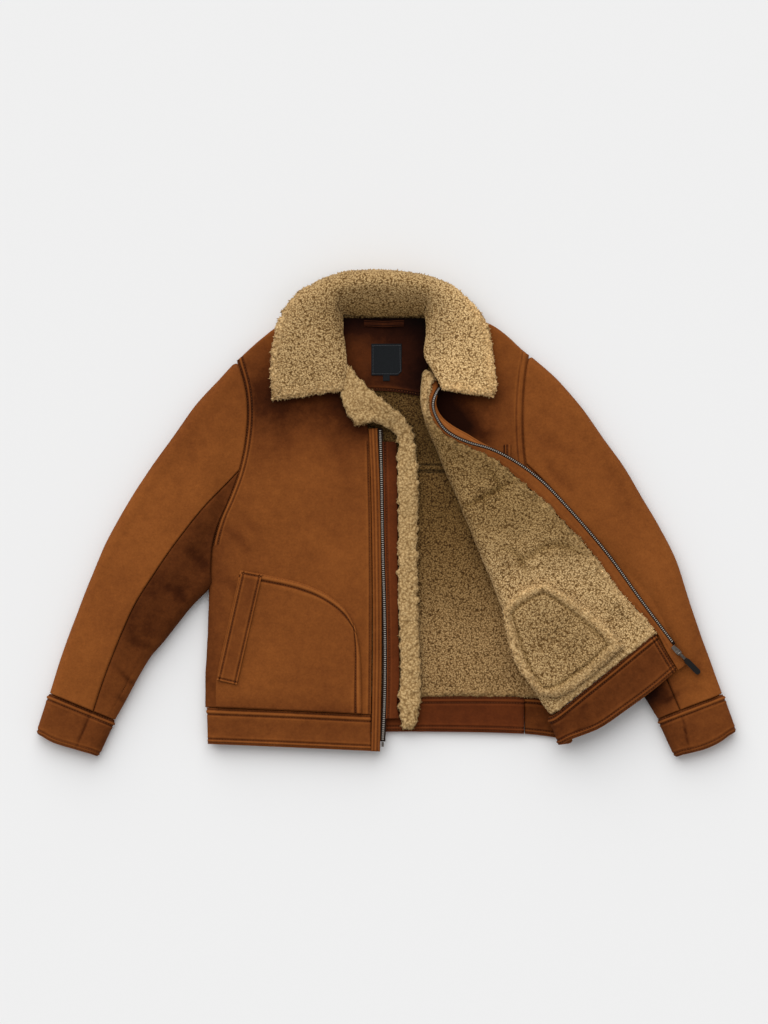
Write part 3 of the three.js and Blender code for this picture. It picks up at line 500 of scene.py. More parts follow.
    def path(self, side, offset, start=0.0, end=1.0, count=400):
        """Points and normals of the fine side along a line at a distance from one side."""
        top = self.grid + self.normal * (self.half + self.lift)[..., None]
        fields = [getattr(self, side), top, self.normal]
        if side in ("low", "high"):
            fields = [np.swapaxes(f, 0, 1) for f in fields]
        rows = [[], []]
        for distance, *row in zip(*fields):
            order = np.argsort(distance)
            for kept, values in zip(rows, row):
                kept.append(read_at(offset, distance[order], values[order]))
        points, normals = np.array(rows)
        steps = run_lengths(points)
        at = np.linspace(start, end, count) * steps[-1]
        return read_at(at, steps, points), read_at(at, steps, normals)

    def build(self, name, materials, wool=None):
        """materials are for the fine side, the coarse side and the rims. wool says what the wool is like."""
        nt, na = self.grid.shape[:2]
        fine = self.grid + self.normal * (self.half + self.lift)[..., None]
        coarse = self.grid - self.normal * (self.half + self.drop)[..., None]
        keep_i = np.unique(np.r_[0 : self.keep_first, 0 : na : self.skip[0], na - 1])
        if self.ring:
            keep_i = np.arange(na)
        keep_j = np.unique(np.r_[0 : nt : self.skip[1], nt - 1])
        verts = np.vstack([fine.reshape(-1, 3), coarse[np.ix_(keep_j, keep_i)].reshape(-1, 3)])
        back_tone = (0.4 * self.tone + self.back_tone)[np.ix_(keep_j, keep_i)]
        tone = np.r_[self.tone.ravel(), back_tone.ravel()]
        base = nt * na
        nb = len(keep_i)

        def quads(rows, cols, start, wrap):
            i = np.arange(cols if wrap else cols - 1)
            j = np.arange(rows - 1)
            jj, ii = np.meshgrid(j, i, indexing="ij")
            nxt = (ii + 1) % cols
            corners = [jj * cols + ii, jj * cols + nxt, (jj + 1) * cols + nxt, (jj + 1) * cols + ii]
            return start + np.stack(corners, axis=-1).reshape(-1, 4)

        top = quads(nt, na, 0, self.ring)
        bottom = quads(len(keep_j), nb, base, self.ring)[:, ::-1]
        faces = [list(f) for f in top] + [list(f) for f in bottom]
        turned = np.zeros((nt, na), bool)
        for side in self.bound:
            turned |= getattr(self, side) < 5.0
        slots = [0] * len(top) + [1] * len(bottom)
        if self.bound:
            slots[: len(top)] = [2 if t else 0 for t in turned[:-1, :-1].ravel()]

        def join(fine_ids, coarse_ids, kept, turn):
            for k in range(len(kept) - 1):
                run = list(fine_ids[kept[k] : kept[k + 1] + 1])
                face = [coarse_ids[k], coarse_ids[k + 1]] + run[::-1]
                faces.append(face if turn else face[::-1])
                slots.append(2)

        coarse_id = base + np.arange(len(keep_j) * nb).reshape(len(keep_j), nb)
        fine_id = np.arange(base).reshape(nt, na)
        if self.ring:
            for row, turn in ((0, True), (-1, False)):
                ids, other = (np.r_[ids[row], ids[row][0]] for ids in (fine_id, coarse_id))
                join(ids, other, np.arange(na + 1), turn)
        else:
            join(fine_id[0], coarse_id[0], keep_i, True)
            join(fine_id[-1], coarse_id[-1], keep_i, False)
            join(fine_id[:, 0], coarse_id[:, 0], keep_j, False)
            join(fine_id[:, -1], coarse_id[:, -1], keep_j, True)
        j, i = nt // 2, na // 2
        square = np.cross(self.grid[j, i + 1] - self.grid[j, i], self.grid[j + 1, i] - self.grid[j, i])
        if np.sum(self.normal[j, i] * square) < 0:
            faces = [f[::-1] for f in faces]
        normals = vertex_normals(verts, faces)
        height = np.zeros(len(verts))
        fluff = np.r_[self.fluff.ravel(), self.fluff[np.ix_(keep_j, keep_i)].ravel()]
        if wool:
            busy = np.zeros(len(verts), bool)
            busy[:base], busy[base:] = "fine" in wool.sides, "coarse" in wool.sides
            height[busy], move = wool.heights(verts[busy], fluff[busy])
            verts[busy] += normals[busy] * move[:, None]
        verts[:, 2] = np.maximum(verts[:, 2], 0.1)
        self.fine_points = verts[:base].reshape(nt, na, 3)
        self.fine_normals = normals[:base].reshape(nt, na, 3)
        marks = {"pile": height, "tone": tone, "fluff": fluff}
        return new_piece(name, verts, faces, materials, face_slots=slots, attributes=marks)


# ---------------------------------------------------------------- materials
class Finish:
    """A material, its constants and its nodes. The makers give back outputs."""

    def __init__(self, name, constants):
        self.material = bpy.data.materials.new(name)
        self.material.use_nodes = True
        self.tree = self.material.node_tree
        self.shader = self.tree.nodes["Principled BSDF"]
        self.feed(self.shader, constants)
        self.place = self.make("TexCoord", {})["Object"]

    def feed(self, made, inputs):
        for key, value in inputs.items():
            if isinstance(value, bpy.types.NodeSocket):
                self.tree.links.new(value, made.inputs[key])
            else:
                made.inputs[key].default_value = value

    def make(self, kind, inputs, **settings):
        made = self.tree.nodes.new("ShaderNode" + kind)
        for key, value in settings.items():
            setattr(made, key, value)
        self.feed(made, inputs)
        return made.outputs

    def noise(self, scale, detail, rough, output=0):
        inputs = {"Vector": self.place, "Scale": scale, "Detail": detail, "Roughness": rough}
        return self.make("TexNoise", inputs)[output]

    def attribute(self, name):
        return self.make("Attribute", {}, attribute_name=name)["Fac"]

    def mixed(self, share, one, two):
        return self.make("Mix", {0: share, 2: one, 3: two}, data_type="FLOAT")[0]

    def multiplied(self, share, one, two):
        return self.make("Mix", {0: share, 6: one, 7: two}, data_type="RGBA", blend_type="MULTIPLY")[2]

    def weighted(self, total, *terms):
        """A constant plus the sum of outputs times weights."""
        for output, weight in terms:
            total = self.make("Math", {0: output, 1: weight, 2: total}, operation="MULTIPLY_ADD")[0]
        return total

    def ramp(self, source, *stops):
        made = self.make("ValToRGB", {0: source})[0]
        elements = made.node.color_ramp.elements
        while len(elements) < len(stops):
            elements.new(0.5)
        for element, (place, colour) in zip(elements, stops):
            element.position = place
            element.color = (*colour, 1)
        return made

    def bump(self, height, strength, distance, **below):
        return self.make("Bump", {"Height": height, "Strength": strength, "Distance": distance, **below})[0]

    def done(self, colour, normal):
        self.feed(self.shader, {"Base Color": colour, "Normal": normal})
        return self.material


def linear(r, g, b):
    return tuple((v / 255 / 12.92) if v <= 10 else ((v / 255 + 0.055) / 1.055) ** 2.4 for v in (r, g, b))


def napped(sheen, sheen_rough, sheen_tint):
    """The shader constants of a matt surface with fibres."""
    return {
        "Roughness": 0.95, "Specular IOR Level": 0.08,
        "Sheen Weight": sheen, "Sheen Roughness": sheen_rough, "Sheen Tint": (*linear(*sheen_tint), 1),
    }


def suede_material(name, dark, middle, light):
    suede = Finish(name, napped(0.05, 0.4, (215, 130, 66)))
    broad, nap, fine = suede.noise(7.0, 3.0, 0.55), suede.noise(70.0, 5.0, 0.75), suede.noise(330.0, 3.0, 0.6)
    black, brown = (
        tuple(v * k for v, k in zip(dark, share)) for share in ((0.10, 0.07, 0.06), (0.36, 0.30, 0.26))
    )
    # the tone attribute moves the colour along the ramp: down to brown and black for painted shade, up for
    # painted highlights
    depth = suede.weighted(0.225, (suede.attribute("tone"), 0.25), (suede.mixed(0.5, broad, nap), 0.55))
    colour = suede.ramp(depth, (0.0, black), (0.18, brown), (0.36, dark), (0.54, middle), (0.78, light))
    grain = suede.ramp(fine, (0.3, (0.62, 0.60, 0.58)), (0.68, (1.14, 1.12, 1.1)))
    normal = suede.bump(nap, 0.35, 0.002, Normal=suede.bump(fine, 0.35, 0.0006))
    return suede.done(suede.multiplied(0.35, colour, grain), normal)


def wool_material(name, deep, middle, tip):
    wool = Finish(name, napped(0.1, 0.5, (232, 208, 165)))
    pile, fluff, tone = (wool.attribute(key) for key in ("pile", "fluff", "tone"))
    wander = wool.noise(240.0, 2.0, 0.6, "Color")
    bent = {0: wander, 1: (0.004, 0.004, 0.004), 2: wool.place}
    bent = wool.make("VectorMath", bent, operation="MULTIPLY_ADD")[0]
    curls, tufts = (wool.make("TexVoronoi", {"Vector": bent, "Scale": k})["Distance"] for k in (400.0, 270.0))
    surface = wool.mixed(fluff, wool.weighted(1.0, (curls, -1.25)), wool.weighted(0.85, (tufts, -0.8)))
    fibres = wool.noise(600.0, 3.0, 0.7)
    # the low places between the curls take the deep colour: painted shade in the crevices
    height = wool.weighted(-0.33, (surface, 0.95), (fibres, 0.75), (pile, 0.26))
    colour = wool.ramp(height, (0.14, deep), (0.5, middle), (0.86, tip))
    # the tone attribute brightens or darkens the wool and warms it where darker: painted shade and
    # highlights, besides the lighter fluffy rims
    bright = wool.make("Math", {0: 2.1, 1: tone}, operation="POWER")[0]
    warm = wool.ramp(wool.weighted(0.0, (tone, -0.8)), (0.0, (1, 1, 1)), (1.0, (1.0, 0.88, 0.62)))
    patches = wool.ramp(wool.noise(14.0, 3.0, 0.6), (0.34, (0.86, 0.84, 0.80)), (0.66, (1.06, 1.05, 1.03)))
    for share, tint in ((1.0, bright), (1.0, warm), (0.6, patches)):
        colour = wool.multiplied(share, colour, tint)
    return wool.done(colour, wool.bump(surface, 0.6, 0.0022))


def plain_material(
    name, colour, rough, metal=0.0, grain=300.0, strength=0.2, depth=0.0003, low=0.75, shine=0.15
):
    plain = Finish(name, {"Roughness": rough, "Metallic": metal, "Specular IOR Level": shine})
    fine = plain.noise(grain, 3.0, 0.6)
    tint = plain.ramp(fine, (0.3, tuple(low * v for v in colour)), (0.7, colour))
    return plain.done(tint, plain.bump(fine, strength, depth))


SUEDE = suede_material("suede", linear(104, 55, 22), linear(131, 74, 31), linear(152, 91, 42))
SUEDE_DARK = suede_material("suede_inside", linear(74, 33, 12), linear(98, 47, 19), linear(118, 62, 27))
# a darker copy of the suede for the neck facing and hanger loop, darker partly as painted shade of the recess
# under the collar
SUEDE_DEEP = suede_material("suede_facing", linear(44, 17, 6), linear(76, 37, 14), linear(104, 52, 21))
WOOL = wool_material("wool", linear(98, 70, 36), linear(163, 131, 87), linear(215, 183, 133))
# a darker copy of the wool for the inside of the back: partly painted shade of the hollow inside the jacket,
# partly a shorter, denser wool
WOOL_INSIDE = wool_material("wool_inside", linear(76, 52, 25), linear(137, 106, 66), linear(183, 150, 103))
METAL = plain_material("zip_metal", linear(118, 110, 103), 0.34, 0.9, grain=220.0, low=0.35)
TEETH = plain_material("zip_teeth", linear(190, 182, 172), 0.35, 0.55)
TAPE = plain_material("zip_tape", linear(34, 20, 12), 0.9, grain=900.0)
PULL = plain_material("pull_leather", linear(22, 19, 17), 0.34, grain=500.0, strength=0.4, shine=0.25)
LABEL = plain_material(
    "label_cloth", linear(34, 36, 38), 0.9, grain=700.0, strength=0.5, depth=0.0006, low=0.6, shine=0.04
)
LABEL_THREAD = plain_material("label_thread", linear(96, 97, 100), 0.8, grain=2000.0)
THREAD = plain_material("thread", linear(120, 68, 32), 0.8, grain=2000.0)


# ---------------------------------------------------------------- stitches and teeth
STITCH_RINGS = (  # share of the length, share of the radius, rise in radii
    (0, 0.25, -0.5), (0.22, 0.9, 0.15), (0.78, 0.9, 0.15), (1, 0.25, -0.5),
)


class Studs:
    """Many small solids joined into one mesh."""

    def __init__(self):
        self.verts, self.faces = [], []

    def add(self, rings):
        """A solid through rings of points, with flat ends."""
        count = len(rings[0])
        start = len(self.verts)
        last = start + count * (len(rings) - 1)
        for ring in rings:
            self.verts += ring
        for o in range(start, last, count):
            for k in range(count):
                m = (k + 1) % count
                self.faces.append([o + k, o + m, o + count + m, o + count + k])
        self.faces.append(list(range(start, start + count))[::-1])
        self.faces.append(list(range(last, last + count)))

    def sew(self, sheet, side, offset, start=0.0, end=1.0, pitch=4.2, long=3.2, radius=0.42, sunk=0.1):
        """Stitches along a side of a sheet."""
        points, normals = sheet.path(side, offset, start, end)
        steps = run_lengths(points)
        angles = [2 * math.pi * k / 5 for k in range(5)]
        for at in np.arange(pitch / 2, steps[-1] - pitch / 2, pitch):
            a, b = read_at([at - long / 2, at + long / 2], steps, points)
            n, way = unit(read_at(at, steps, normals)), unit(b - a)
            side_way = np.cross(way, n)
            rings = []
            for share, thick, rise in STITCH_RINGS:
                centre = a + (b - a) * share + n * (rise * radius - sunk)
                rings.append([
                    centre + radius * thick * (math.cos(t) * side_way + math.sin(t) * n) for t in angles
                ])
            self.add(rings)

    def build(self, name, material, slot, smooth=True):
        verts = np.array(self.verts)
        verts[:, 2] = np.maximum(verts[:, 2], 0.1)
        return new_piece(name, verts, self.faces, [material], smooth=smooth)


stitches = Studs()
label_stitches = Studs()
SEWN = {"depth": 1.1, "width": 1.2}


def double_stitch(sheet, side, first, second, start=0.0, end=1.0):
    for offset in (first, second):
        sheet.groove(side, offset, start=start, end=end, **SEWN)
    for offset in (first, second):
        stitches.sew(sheet, side, offset, max(start, 0.004), min(end, 0.996))


def sheet_of(surface, thick, cell, edges, rims, level=None, skip=(2, 2), edge=0.14, cells=None):
    """A Sheet on a surface. edges are the widths left, right, low and high that are finely divided, and one
    number stands for all four."""
    edges, rims = (v if isinstance(v, tuple) else 4 * (v,) for v in (edges, rims))
    wide, long = lengths(surface)
    spec = [(rim, max(strip, rim)) if rim or strip else None for rim, strip in zip(rims, edges)]
    cell_a, cell_t = cells or (cell, cell)
    grid = surface(stations(wide, cell_a, *spec[:2]), stations(long, cell_t, *spec[2:]))
    if level is not None:
        grid[..., 2] = level(grid) if callable(level) else level
    return Sheet(grid, thick(grid) if callable(thick) else thick, rims, skip=skip, edge=edge)


def finish(sheet, name, node, sides=None, turned=0.0, wool=None, locks=None):
    """Builds a cloth piece, hides the part that it replaces, works out its cut and builds its locks of wool.
    sides are its materials, if it isn't all suede. The cut is the width, length and flat area, with what is
    turned in at its sides."""
    obj = sheet.build(name, sides or 3 * [SUEDE], wool)
    if node:
        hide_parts(node)
    wide = float(np.max(sheet.left[:, -1]) + 2 * turned) / 1000
    if sheet.ring:
        wide += float(np.linalg.norm(sheet.grid[0, 0] - sheet.grid[0, -1])) / 1000
    long = float(np.max(sheet.low[-1])) / 1000
    across, along = (part - sheet.grid[:-1, :-1] for part in (sheet.grid[:-1, 1:], sheet.grid[1:, :-1]))
    area = float(np.linalg.norm(np.cross(along, across), axis=2).sum()) / 1e6 + 2 * turned / 1000 * long
    wide = max(wide, area * 1.02 / long, 0.0105)
    flat = (round(wide + 0.0005, 3), round(long + 0.0005, 3))
    area = round(max(area, 0.36 * flat[0] * flat[1]), 5)
    beside = [sheet.locks(*locks)] if locks else []


# ---------------------------------------------------------------- the body's shared lines
RIGHT_SIDE = Line([
    (-264, 57), (-264, 97), (-261, 172), (-258, 235), (-256, 300), (-247, 334), (-231, 370), (-216, 412),
    (-207, 457), (-204, 498), (-207, 532), (-219, 577),
])
LEFT_SIDE = Line([
    (271, 60), (268, 128), (261, 218), (252, 278), (234, 338), (218, 390), (211.5, 428), (208.5, 471),
    (208.5, 510), (211, 546), (216, 585),
])
UNDERARM_Y = 238
YOKE_SEAM_Y = 409


def droop(p):
    """How far the side edges droop at points in the plan."""
    right = np.interp(p[..., 1], RIGHT_SIDE.points[:, 1], RIGHT_SIDE.points[:, 0])
    left = np.interp(p[..., 1], LEFT_SIDE.points[:, 1], LEFT_SIDE.points[:, 0])
    share = np.clip(np.minimum(p[..., 0] - right, left - p[..., 0]) / 26.0, 0, 1)
    most = 8.0 + (2.0 - 8.0) * smoothstep(p[..., 1], 200, 330)
    return most * (1 - np.sqrt(1 - (1 - share) ** 2))


BACK_HEM_SEAM = Line([(-264, 67), (-141, 72), (0, 73), (220, 72), (271, 66)])
BACK_HEM_EDGE = Line([(-262, 8), (-130, 16), (2, 20), (150, 19), (210, 17)])


def split_stations(low_mm, high_mm, total, cell_in, cell_out, start, end):
    """Shares along a length that are fine between two places and coarse outside."""
    one = stations(low_mm, cell_out, start, None) * low_mm
    two = low_mm + stations(high_mm - low_mm, cell_in) * (high_mm - low_mm)
    three = high_mm + stations(total - high_mm, cell_out, None, end) * (total - high_mm)
    return np.unique(np.round(np.concatenate([one, two, three]), 4)) / total


def build_back():
    low_right, low_left = RIGHT_SIDE.share_at_y(67), LEFT_SIDE.share_at_y(66)
    seam_right, seam_left = RIGHT_SIDE.share_at_y(YOKE_SEAM_Y), LEFT_SIDE.share_at_y(YOKE_SEAM_Y)
    seam = Line([RIGHT_SIDE(seam_right), LEFT_SIDE(seam_left)])
    thick = lambda p: SHEARLING - droop(p)
    sides = RIGHT_SIDE.part(low_right, seam_right), LEFT_SIDE.part(low_left, seam_left)
    lower = patch(*sides, BACK_HEM_SEAM, seam)
    across = split_stations(268, 470, 500, WOOL_CELL, 9.0, (6, 8), (6, 8))
    along = stations(340, WOOL_CELL, (6, 6), (6, 6))
    grid = lower(across, along)
    grid[..., 2] = thick(grid) / 2
    panel = Sheet(grid, thick(grid), (6, 6, 6, 5), skip=(3, 4), edge=0.3)
    panel.lift += 0.5 * waves(grid, 60, 5)
    panel.tufted(["low"], 7.0)
    # painted shade: the wool darkens up the back into the hollow under the yoke and collar
    panel.tone += 0.05 - 1.2 * smoothstep(grid[..., 1], 110, 380)
    panel.bound = ("left", "right")
    finish(
        panel, "back_panel_wool", "back_panel", [WOOL_INSIDE, SUEDE, SUEDE], wool=Wool(3),
        locks=("back_panel_locks", 103, 3.2, 4.0, 0.8, 7.0, 1.0, 1.7, WOOL_INSIDE),
    )
    shoulders = Line([
        (-219, 577), (-186, 607), (-148, 633), (-112, 645), (-70, 650), (8, 649), (80, 650), (115, 645),
        (151, 633), (185, 610), (216, 585),
    ])
    yoke_plan = patch(RIGHT_SIDE.part(seam_right, 1), LEFT_SIDE.part(seam_left, 1), seam, shoulders)
    across = split_stations(190, 400, 430, WOOL_CELL, 9.0, (6, 8), (6, 8))
    along = stations(230, 3.0, (5, 100), (6, 6), fine=WOOL_CELL)
    grid = yoke_plan(across, along)
    grid[..., 2] = thick(grid) / 2
    yoke = Sheet(grid, thick(grid), (6, 6, 5, 6), skip=(3, 4), edge=0.3)
    yoke.groove("low", 11.5, depth=1.6, width=1.6)
    yoke.lift += 1.2 * bell(yoke.low - 5, 4)
    yoke.groove("low", 3.0, depth=1.0, width=1.2)
    # the yoke is painted darker all over, painted shade of the hollow under the collar, and lighter again
    # towards its top
    yoke.tone -= 1.5
    yoke.bound = ("left", "right", "high")
    yoke.tone += 1.2 * smoothstep(yoke.grid[..., 1], 560, 600)
    finish(yoke, "back_yoke_wool", "back_yoke", [WOOL_INSIDE, SUEDE, SUEDE], wool=Wool(4))
    hem_low = Line([BACK_HEM_EDGE(0.0), RIGHT_SIDE(low_right)])
    hem_high = BACK_HEM_SEAM.part(0, 0.886, (0, -0.3, 0))
    hem = patch(hem_low, Line([(210, 17), (210, 71.5)]), BACK_HEM_EDGE, hem_high)
    hem_thick = lambda p: HEM_WALL - 0.5 * droop(p)
    band = sheet_of(hem, hem_thick, SUEDE_CELL, (0, 0, 14, 14), (4, 0, 3.4, 1.6), lambda p: hem_thick(p) / 2)
    band.tone -= 0.2
    double_stitch(band, "low", 3.4, 8.5)
    double_stitch(band, "high", 2.4, 9.5)
    finish(band, "back_hem_band", "back_hem", [SUEDE_DARK, SUEDE, SUEDE_DARK])


def right_front_level(p):
    inward = np.clip((p[..., 0] + 262) / 240, 0, 1)
    upward = np.clip((p[..., 1] - 40) / 560, 0, 1)
    return FRONT_LEVEL + 4.5 * np.sin(np.pi * inward) * np.sin(np.pi * upward) - droop(p)


RIGHT_ZIP = Line([(-2, 6), (0.7, 67), (1.5, 125), (0.7, 201), (-1.5, 277), (-3, 351), (-4, 408), (-6, 475)])


def build_right_front():
    inner = Line([
        (-19.5, 46), (-18.5, 142), (-18.5, 277), (-20.5, 397), (-24, 475), (-33, 500), (-50, 535), (-63, 577),
        (-75, 618), (-99, 646),
    ])
    seam = Line([(-264, 57), (-141, 52), (-19.5, 46)])
    shoulder = Line([(-219, 577), (-186, 607), (-148, 634), (-99, 646)])
    plan = patch(RIGHT_SIDE, inner, seam, shoulder)
    front = sheet_of(plan, SHEARLING, SUEDE_CELL, (16, 12, 4, 4), (5, 4, 1.6, 4), right_front_level)
    arm = RIGHT_SIDE.share_at_y(300)
    front.lift += 0.8 * waves(front.grid, 95, 21) + 0.25 * waves(front.grid, 30, 22)
    # painted shadow of the collar on the chest, and painted shade by the placket, the shoulder and the side
    # edge
    front.shade([(-166, 518), (-120, 520), (-64, 522)], 66, 1.2)
    front.shade([(-60, 520), (-42, 478), (-30, 470)], 26, 0.8)
    front.shade([(-212, 560), (-196, 500), (-205, 450)], 34, 0.3)
    front.shade([(-262, 70), (-260, 200), (-255, 310)], 26, 0.7)
    for points, depth, width in (
        ([(-238, 330), (-214, 306), (-200, 280)], 1.4, 7),
        ([(-228, 352), (-196, 330), (-176, 300)], 1.0, 8),
        ([(-252, 262), (-225, 240), (-212, 205)], 1.2, 9),
        ([(-180, 560), (-150, 480), (-140, 400)], 0.8, 14),
        ([(-90, 480), (-60, 420), (-48, 360)], 0.8, 12),
        ([(-130, 330), (-90, 300), (-60, 250)], -0.9, 16),
    ):
        front.crease(points, depth, width)
    double_stitch(front, "left", 2.4, 9.0, start=arm)
    stitches.sew(front, "right", 3.0, 0.0, 0.66)
    front.groove("right", 3.0, start=0.0, end=0.66, **SEWN)
    finish(front, "right_front_suede", "right_front", [SUEDE, WOOL, SUEDE])

    edge = Line([(-263, 2), (-141, -3), (-19, -8.5)])
    ends = (Line([edge(end), seam(end)]) for end in (0.0, 1.0))
    hem = patch(*ends, edge, seam.part(0, 1, (0, -0.3, 0)))
    level = lambda p: FRONT_HEM_LEVEL - 0.5 * droop(p)
    band = sheet_of(hem, HEM_WALL, SUEDE_CELL, (0, 4, 14, 14), (4, 3, 3.4, 1.6), level)
    band.lift += 0.4 * waves(band.grid, 60, 23)
    band.tone -= 0.3
    band.roll("high", 2.6, 9.6, 0.8).roll("low", 0.5, 7.6, 0.7)
    double_stitch(band, "low", 3.2, 8.0)
    double_stitch(band, "high", 2.4, 10.0)
    finish(band, "right_hem_band", "right_hem")

    middle = Line([(-12.8, -9), (-11.2, 67), (-10.2, 142), (-11, 277), (-13.4, 397), (-16.7, 475)])
    rims = (2.5, 2.5, 2, 2)
    strip = sheet_of(ribbon(middle, 13.8), SHEARLING - 2, 1.2, 3, rims, FRONT_LEVEL, cells=(1.2, 6))
    strip.tone -= 0.2
    for offset, depth, width in ((4.2, 0.9, 1.1), (9.4, 0.7, 1.0)):
        strip.groove("right", offset, depth, width, dark=0.6)
    stitches.sew(strip, "right", 4.2)
    finish(strip, "right_placket_strip", "right_placket", turned=4.0)


def build_right_pocket():
    lift = SHEARLING / 2 + 0.3
    pouch_plan = outline(
        [(-252, 58), (-251, 97), (-234, 180), (-215, 263)], [(-33, 48), (-34, 100), (-36, 140), (-42, 175)],
        [(-252, 58), (-141, 53.5), (-33, 48)],
        [(-215, 263), (-184, 257), (-126, 244), (-88, 228), (-58, 204), (-42, 175)],
    )
    level = lambda p: right_front_level(p) + lift + 1.2
    pouch = sheet_of(pouch_plan, 2.6, SUEDE_CELL, (4, 13, 4, 13), 2, level)
    pouch.lift += 0.9 * waves(pouch.grid, 80, 31) + 0.6
    # painted shade along the pocket's lower edge
    pouch.shade([(-252, 56), (-141, 52), (-33, 46)], 16, 0.5)
    pouch.roll("high", 0.6, 8.8, 1.5, 0.5).roll("right", 0.6, 8.8, 1.5, 0.5)
    for side in ("high", "right"):
        pouch.groove(side, 9.6, depth=1.3, width=1.4, dark=1.4)
        stitches.sew(pouch, side, 9.6, 0.004, 0.996)
        stitches.sew(pouch, side, 2.0, 0.004, 0.996)
    finish(pouch, "right_pocket_pouch", "right_pocket")
    welt_plan = straight_patch((-250, 98), (-213, 262), (-220, 91), (-182, 256))
    level = lambda p: right_front_level(p) + lift + 3.2 + 1.5
    welt = sheet_of(welt_plan, 3.0, 3.0, 7, 2.2, level, cells=(1.4, 4))
    # painted shade: the welt is darker than the pouch
    welt.tone -= 0.3
    for side in ("right", "low", "high", "left"):
        welt.groove(side, 3.6, **SEWN)
        welt.roll(side, 0.2, 3.2, 0.3, 0.4)
        stitches.sew(welt, side, 3.6)
    finish(welt, "right_pocket_welt_strip", "right_pocket_welt")


FLAP_EDGE = [  # outer x, outer y, inner x, inner y, level
    (-64, 523, -57, 573, 32),
    (-56, 500, -39, 551, 33.5),
    (-44, 482, -16, 529, 33.5),
    (-18, 483, 4, 513, 33),
    (4.5, 477, 25, 495.5, 26),
    (19.5, 462, 40.5, 474, 21),
    (20, 427, 48, 435, 19.5),
    (21, 367, 51, 367, 19.5),
    (21, 277, 49.5, 277, 19.5),
    (22.5, 187, 52, 187, 19.5),
    (25, 97, 55, 97, 19.5),
    (22.5, 63, 53, 58, 19.5),
    (26, 35, 48, 35, 18.5),
    (31, 25, 41, 25, 17.5),
]


def build_wind_flap():
    outer = Line([(a, b, z) for a, b, c, d, z in FLAP_EDGE])
    inner = Line([(c, d, z) for a, b, c, d, z in FLAP_EDGE])
    flap = sheet_of(between(outer, inner), 13.0, 1.6, 6, (6.5, 6.5, 3, 6), skip=(2, 2))
    flap.tufted(["left", "right", "high"], 30.0).ragged(["left", "right"], 2.6, 12.0, 6)
    flap.tone -= 0.55
    finish(
        flap, "wind_flap_fleece", "wind_flap_wool", 3 * [WOOL],
        wool=Wool(8, ("fine", "coarse"), tuft=5.2, tuft_rise=2.0),
        locks=("wind_flap_locks", 108, 6.5, 5.0, 0.75, 17.0, 0.9, 1.0),
    )
    beside = Line([
        (23, 40), (19.5, 60), (23, 97), (21.5, 187), (20.5, 277), (20.5, 367), (19.5, 427), (19, 455),
    ])
    zip_side = RIGHT_ZIP.part(RIGHT_ZIP.share_at_y(40), RIGHT_ZIP.share_at_y(455), (3.0, 0, 0))
    plan = patch(zip_side, beside, Line([zip_side(0.0), beside(0.0)]), Line([zip_side(1.0), beside(1.0)]))
    strip = sheet_of(plan, SINGLE_HIDE, 1.6, 3, 1.5, cells=(1.6, 6))
    strip.grid[..., 2] = FRONT_LEVEL - 2 * (strip.left / strip.left[:, -1:])
    strip.groove("left", 3.6, **SEWN)
    strip.tone -= 0.3 * smoothstep(strip.left, 10, 20) + 0.8 * smoothstep(strip.grid[..., 1], 400, 455)
    stitches.sew(strip, "left", 3.6)
    finish(strip, "wind_flap_strip", "wind_flap", 3 * [SUEDE_DARK])


def build_neck():
    plan = outline(
        [(-45, 530), (-60, 577), (-71, 618), (-78, 640)],
        [(53, 523), (60, 556), (70, 574), (84, 604), (92, 640)],
        [(-45, 530), (-8, 531), (27, 528), (53, 523)], [(-78, 640), (8, 640), (92, 640)],
    )
    facing = sheet_of(plan, SINGLE_HIDE, 3.0, (3, 3, 10, 3), 2, FACING_LEVEL)
    facing.lift += 0.5 * waves(facing.grid, 40, 41)
    facing.groove("low", 3.0, **SEWN)
    # painted shade under the collar and along the facing's right side; painted light on its left part, and a
    # lighter band above its lower seam
    facing.shade([(-78, 645), (8, 648), (92, 640)], 30, 1.6)
    facing.shade([(92, 640), (76, 590), (60, 556), (50, 525)], 34, 1.1)
    facing.tone += 0.7 * bell(facing.grid[..., 0] + 44, 40) * bell(facing.grid[..., 1] - 585, 40) - 0.25
    facing.tone += 0.35 * bell(facing.low - 6, 4)
    stitches.sew(facing, "low", 3.0)
    finish(facing, "neck_facing_suede", "neck_facing", 3 * [SUEDE_DEEP])

    top = FACING_LEVEL + SINGLE_HIDE / 2 + 0.3
    label_plan = patch(
        Line([(-19, 554), (-19, 601.5)]), Line([(26.5, 560), (26.5, 601.5)]),
        Line([(-19, 554), (20.5, 554), (26.5, 560)], smooth=False), Line([(-19, 601.5), (26.5, 601.5)]),
    )
    label = sheet_of(label_plan, 1.2, 1.1, 0.8, 0.8, top + 0.6)
    label.lift += 0.12 * waves(label.grid, 9, 43)
    for side in ("left", "right", "low", "high"):
        label.groove(side, 2.6, depth=0.25, width=0.6)
        label_stitches.sew(label, side, 2.6, 0.03, 0.97, pitch=2.4, long=1.7, radius=0.3, sunk=-0.1)
    finish(
        label, "neck_label_cloth", "neck_label", 3 * [LABEL],
    )
    tab_plan = straight_patch((-1.5, 545.6), (-1.5, 556.2), (8.5, 545.6), (8.5, 556.2))
    tab = sheet_of(tab_plan, 1.0, 0.8, 0.5, 0.5, top + 0.6)
    tab.lift += 0.3 * bell(tab.low - 1.5, 0.9)
    finish(tab, "size_tab_cloth", "size_tab", 3 * [LABEL])
    arch = Line([
        (x, y, top + rise)
        for x, y, rise in ((-30, 632, 1), (-22, 632, 1.2), (0, 631, 2.4), (22, 632, 1.2), (30, 632, 1))
    ])
    loop = sheet_of(ribbon(arch, 9), 1.8, 1.1, 0.9, 0.9, cells=(1.1, 2.0))
    for side in ("left", "right"):
        loop.groove(side, 1.8, depth=0.35, width=0.6)
    loop.tone -= 0.5
    finish(loop, "hanger_loop_suede", "hanger_loop", 3 * [SUEDE_DEEP])


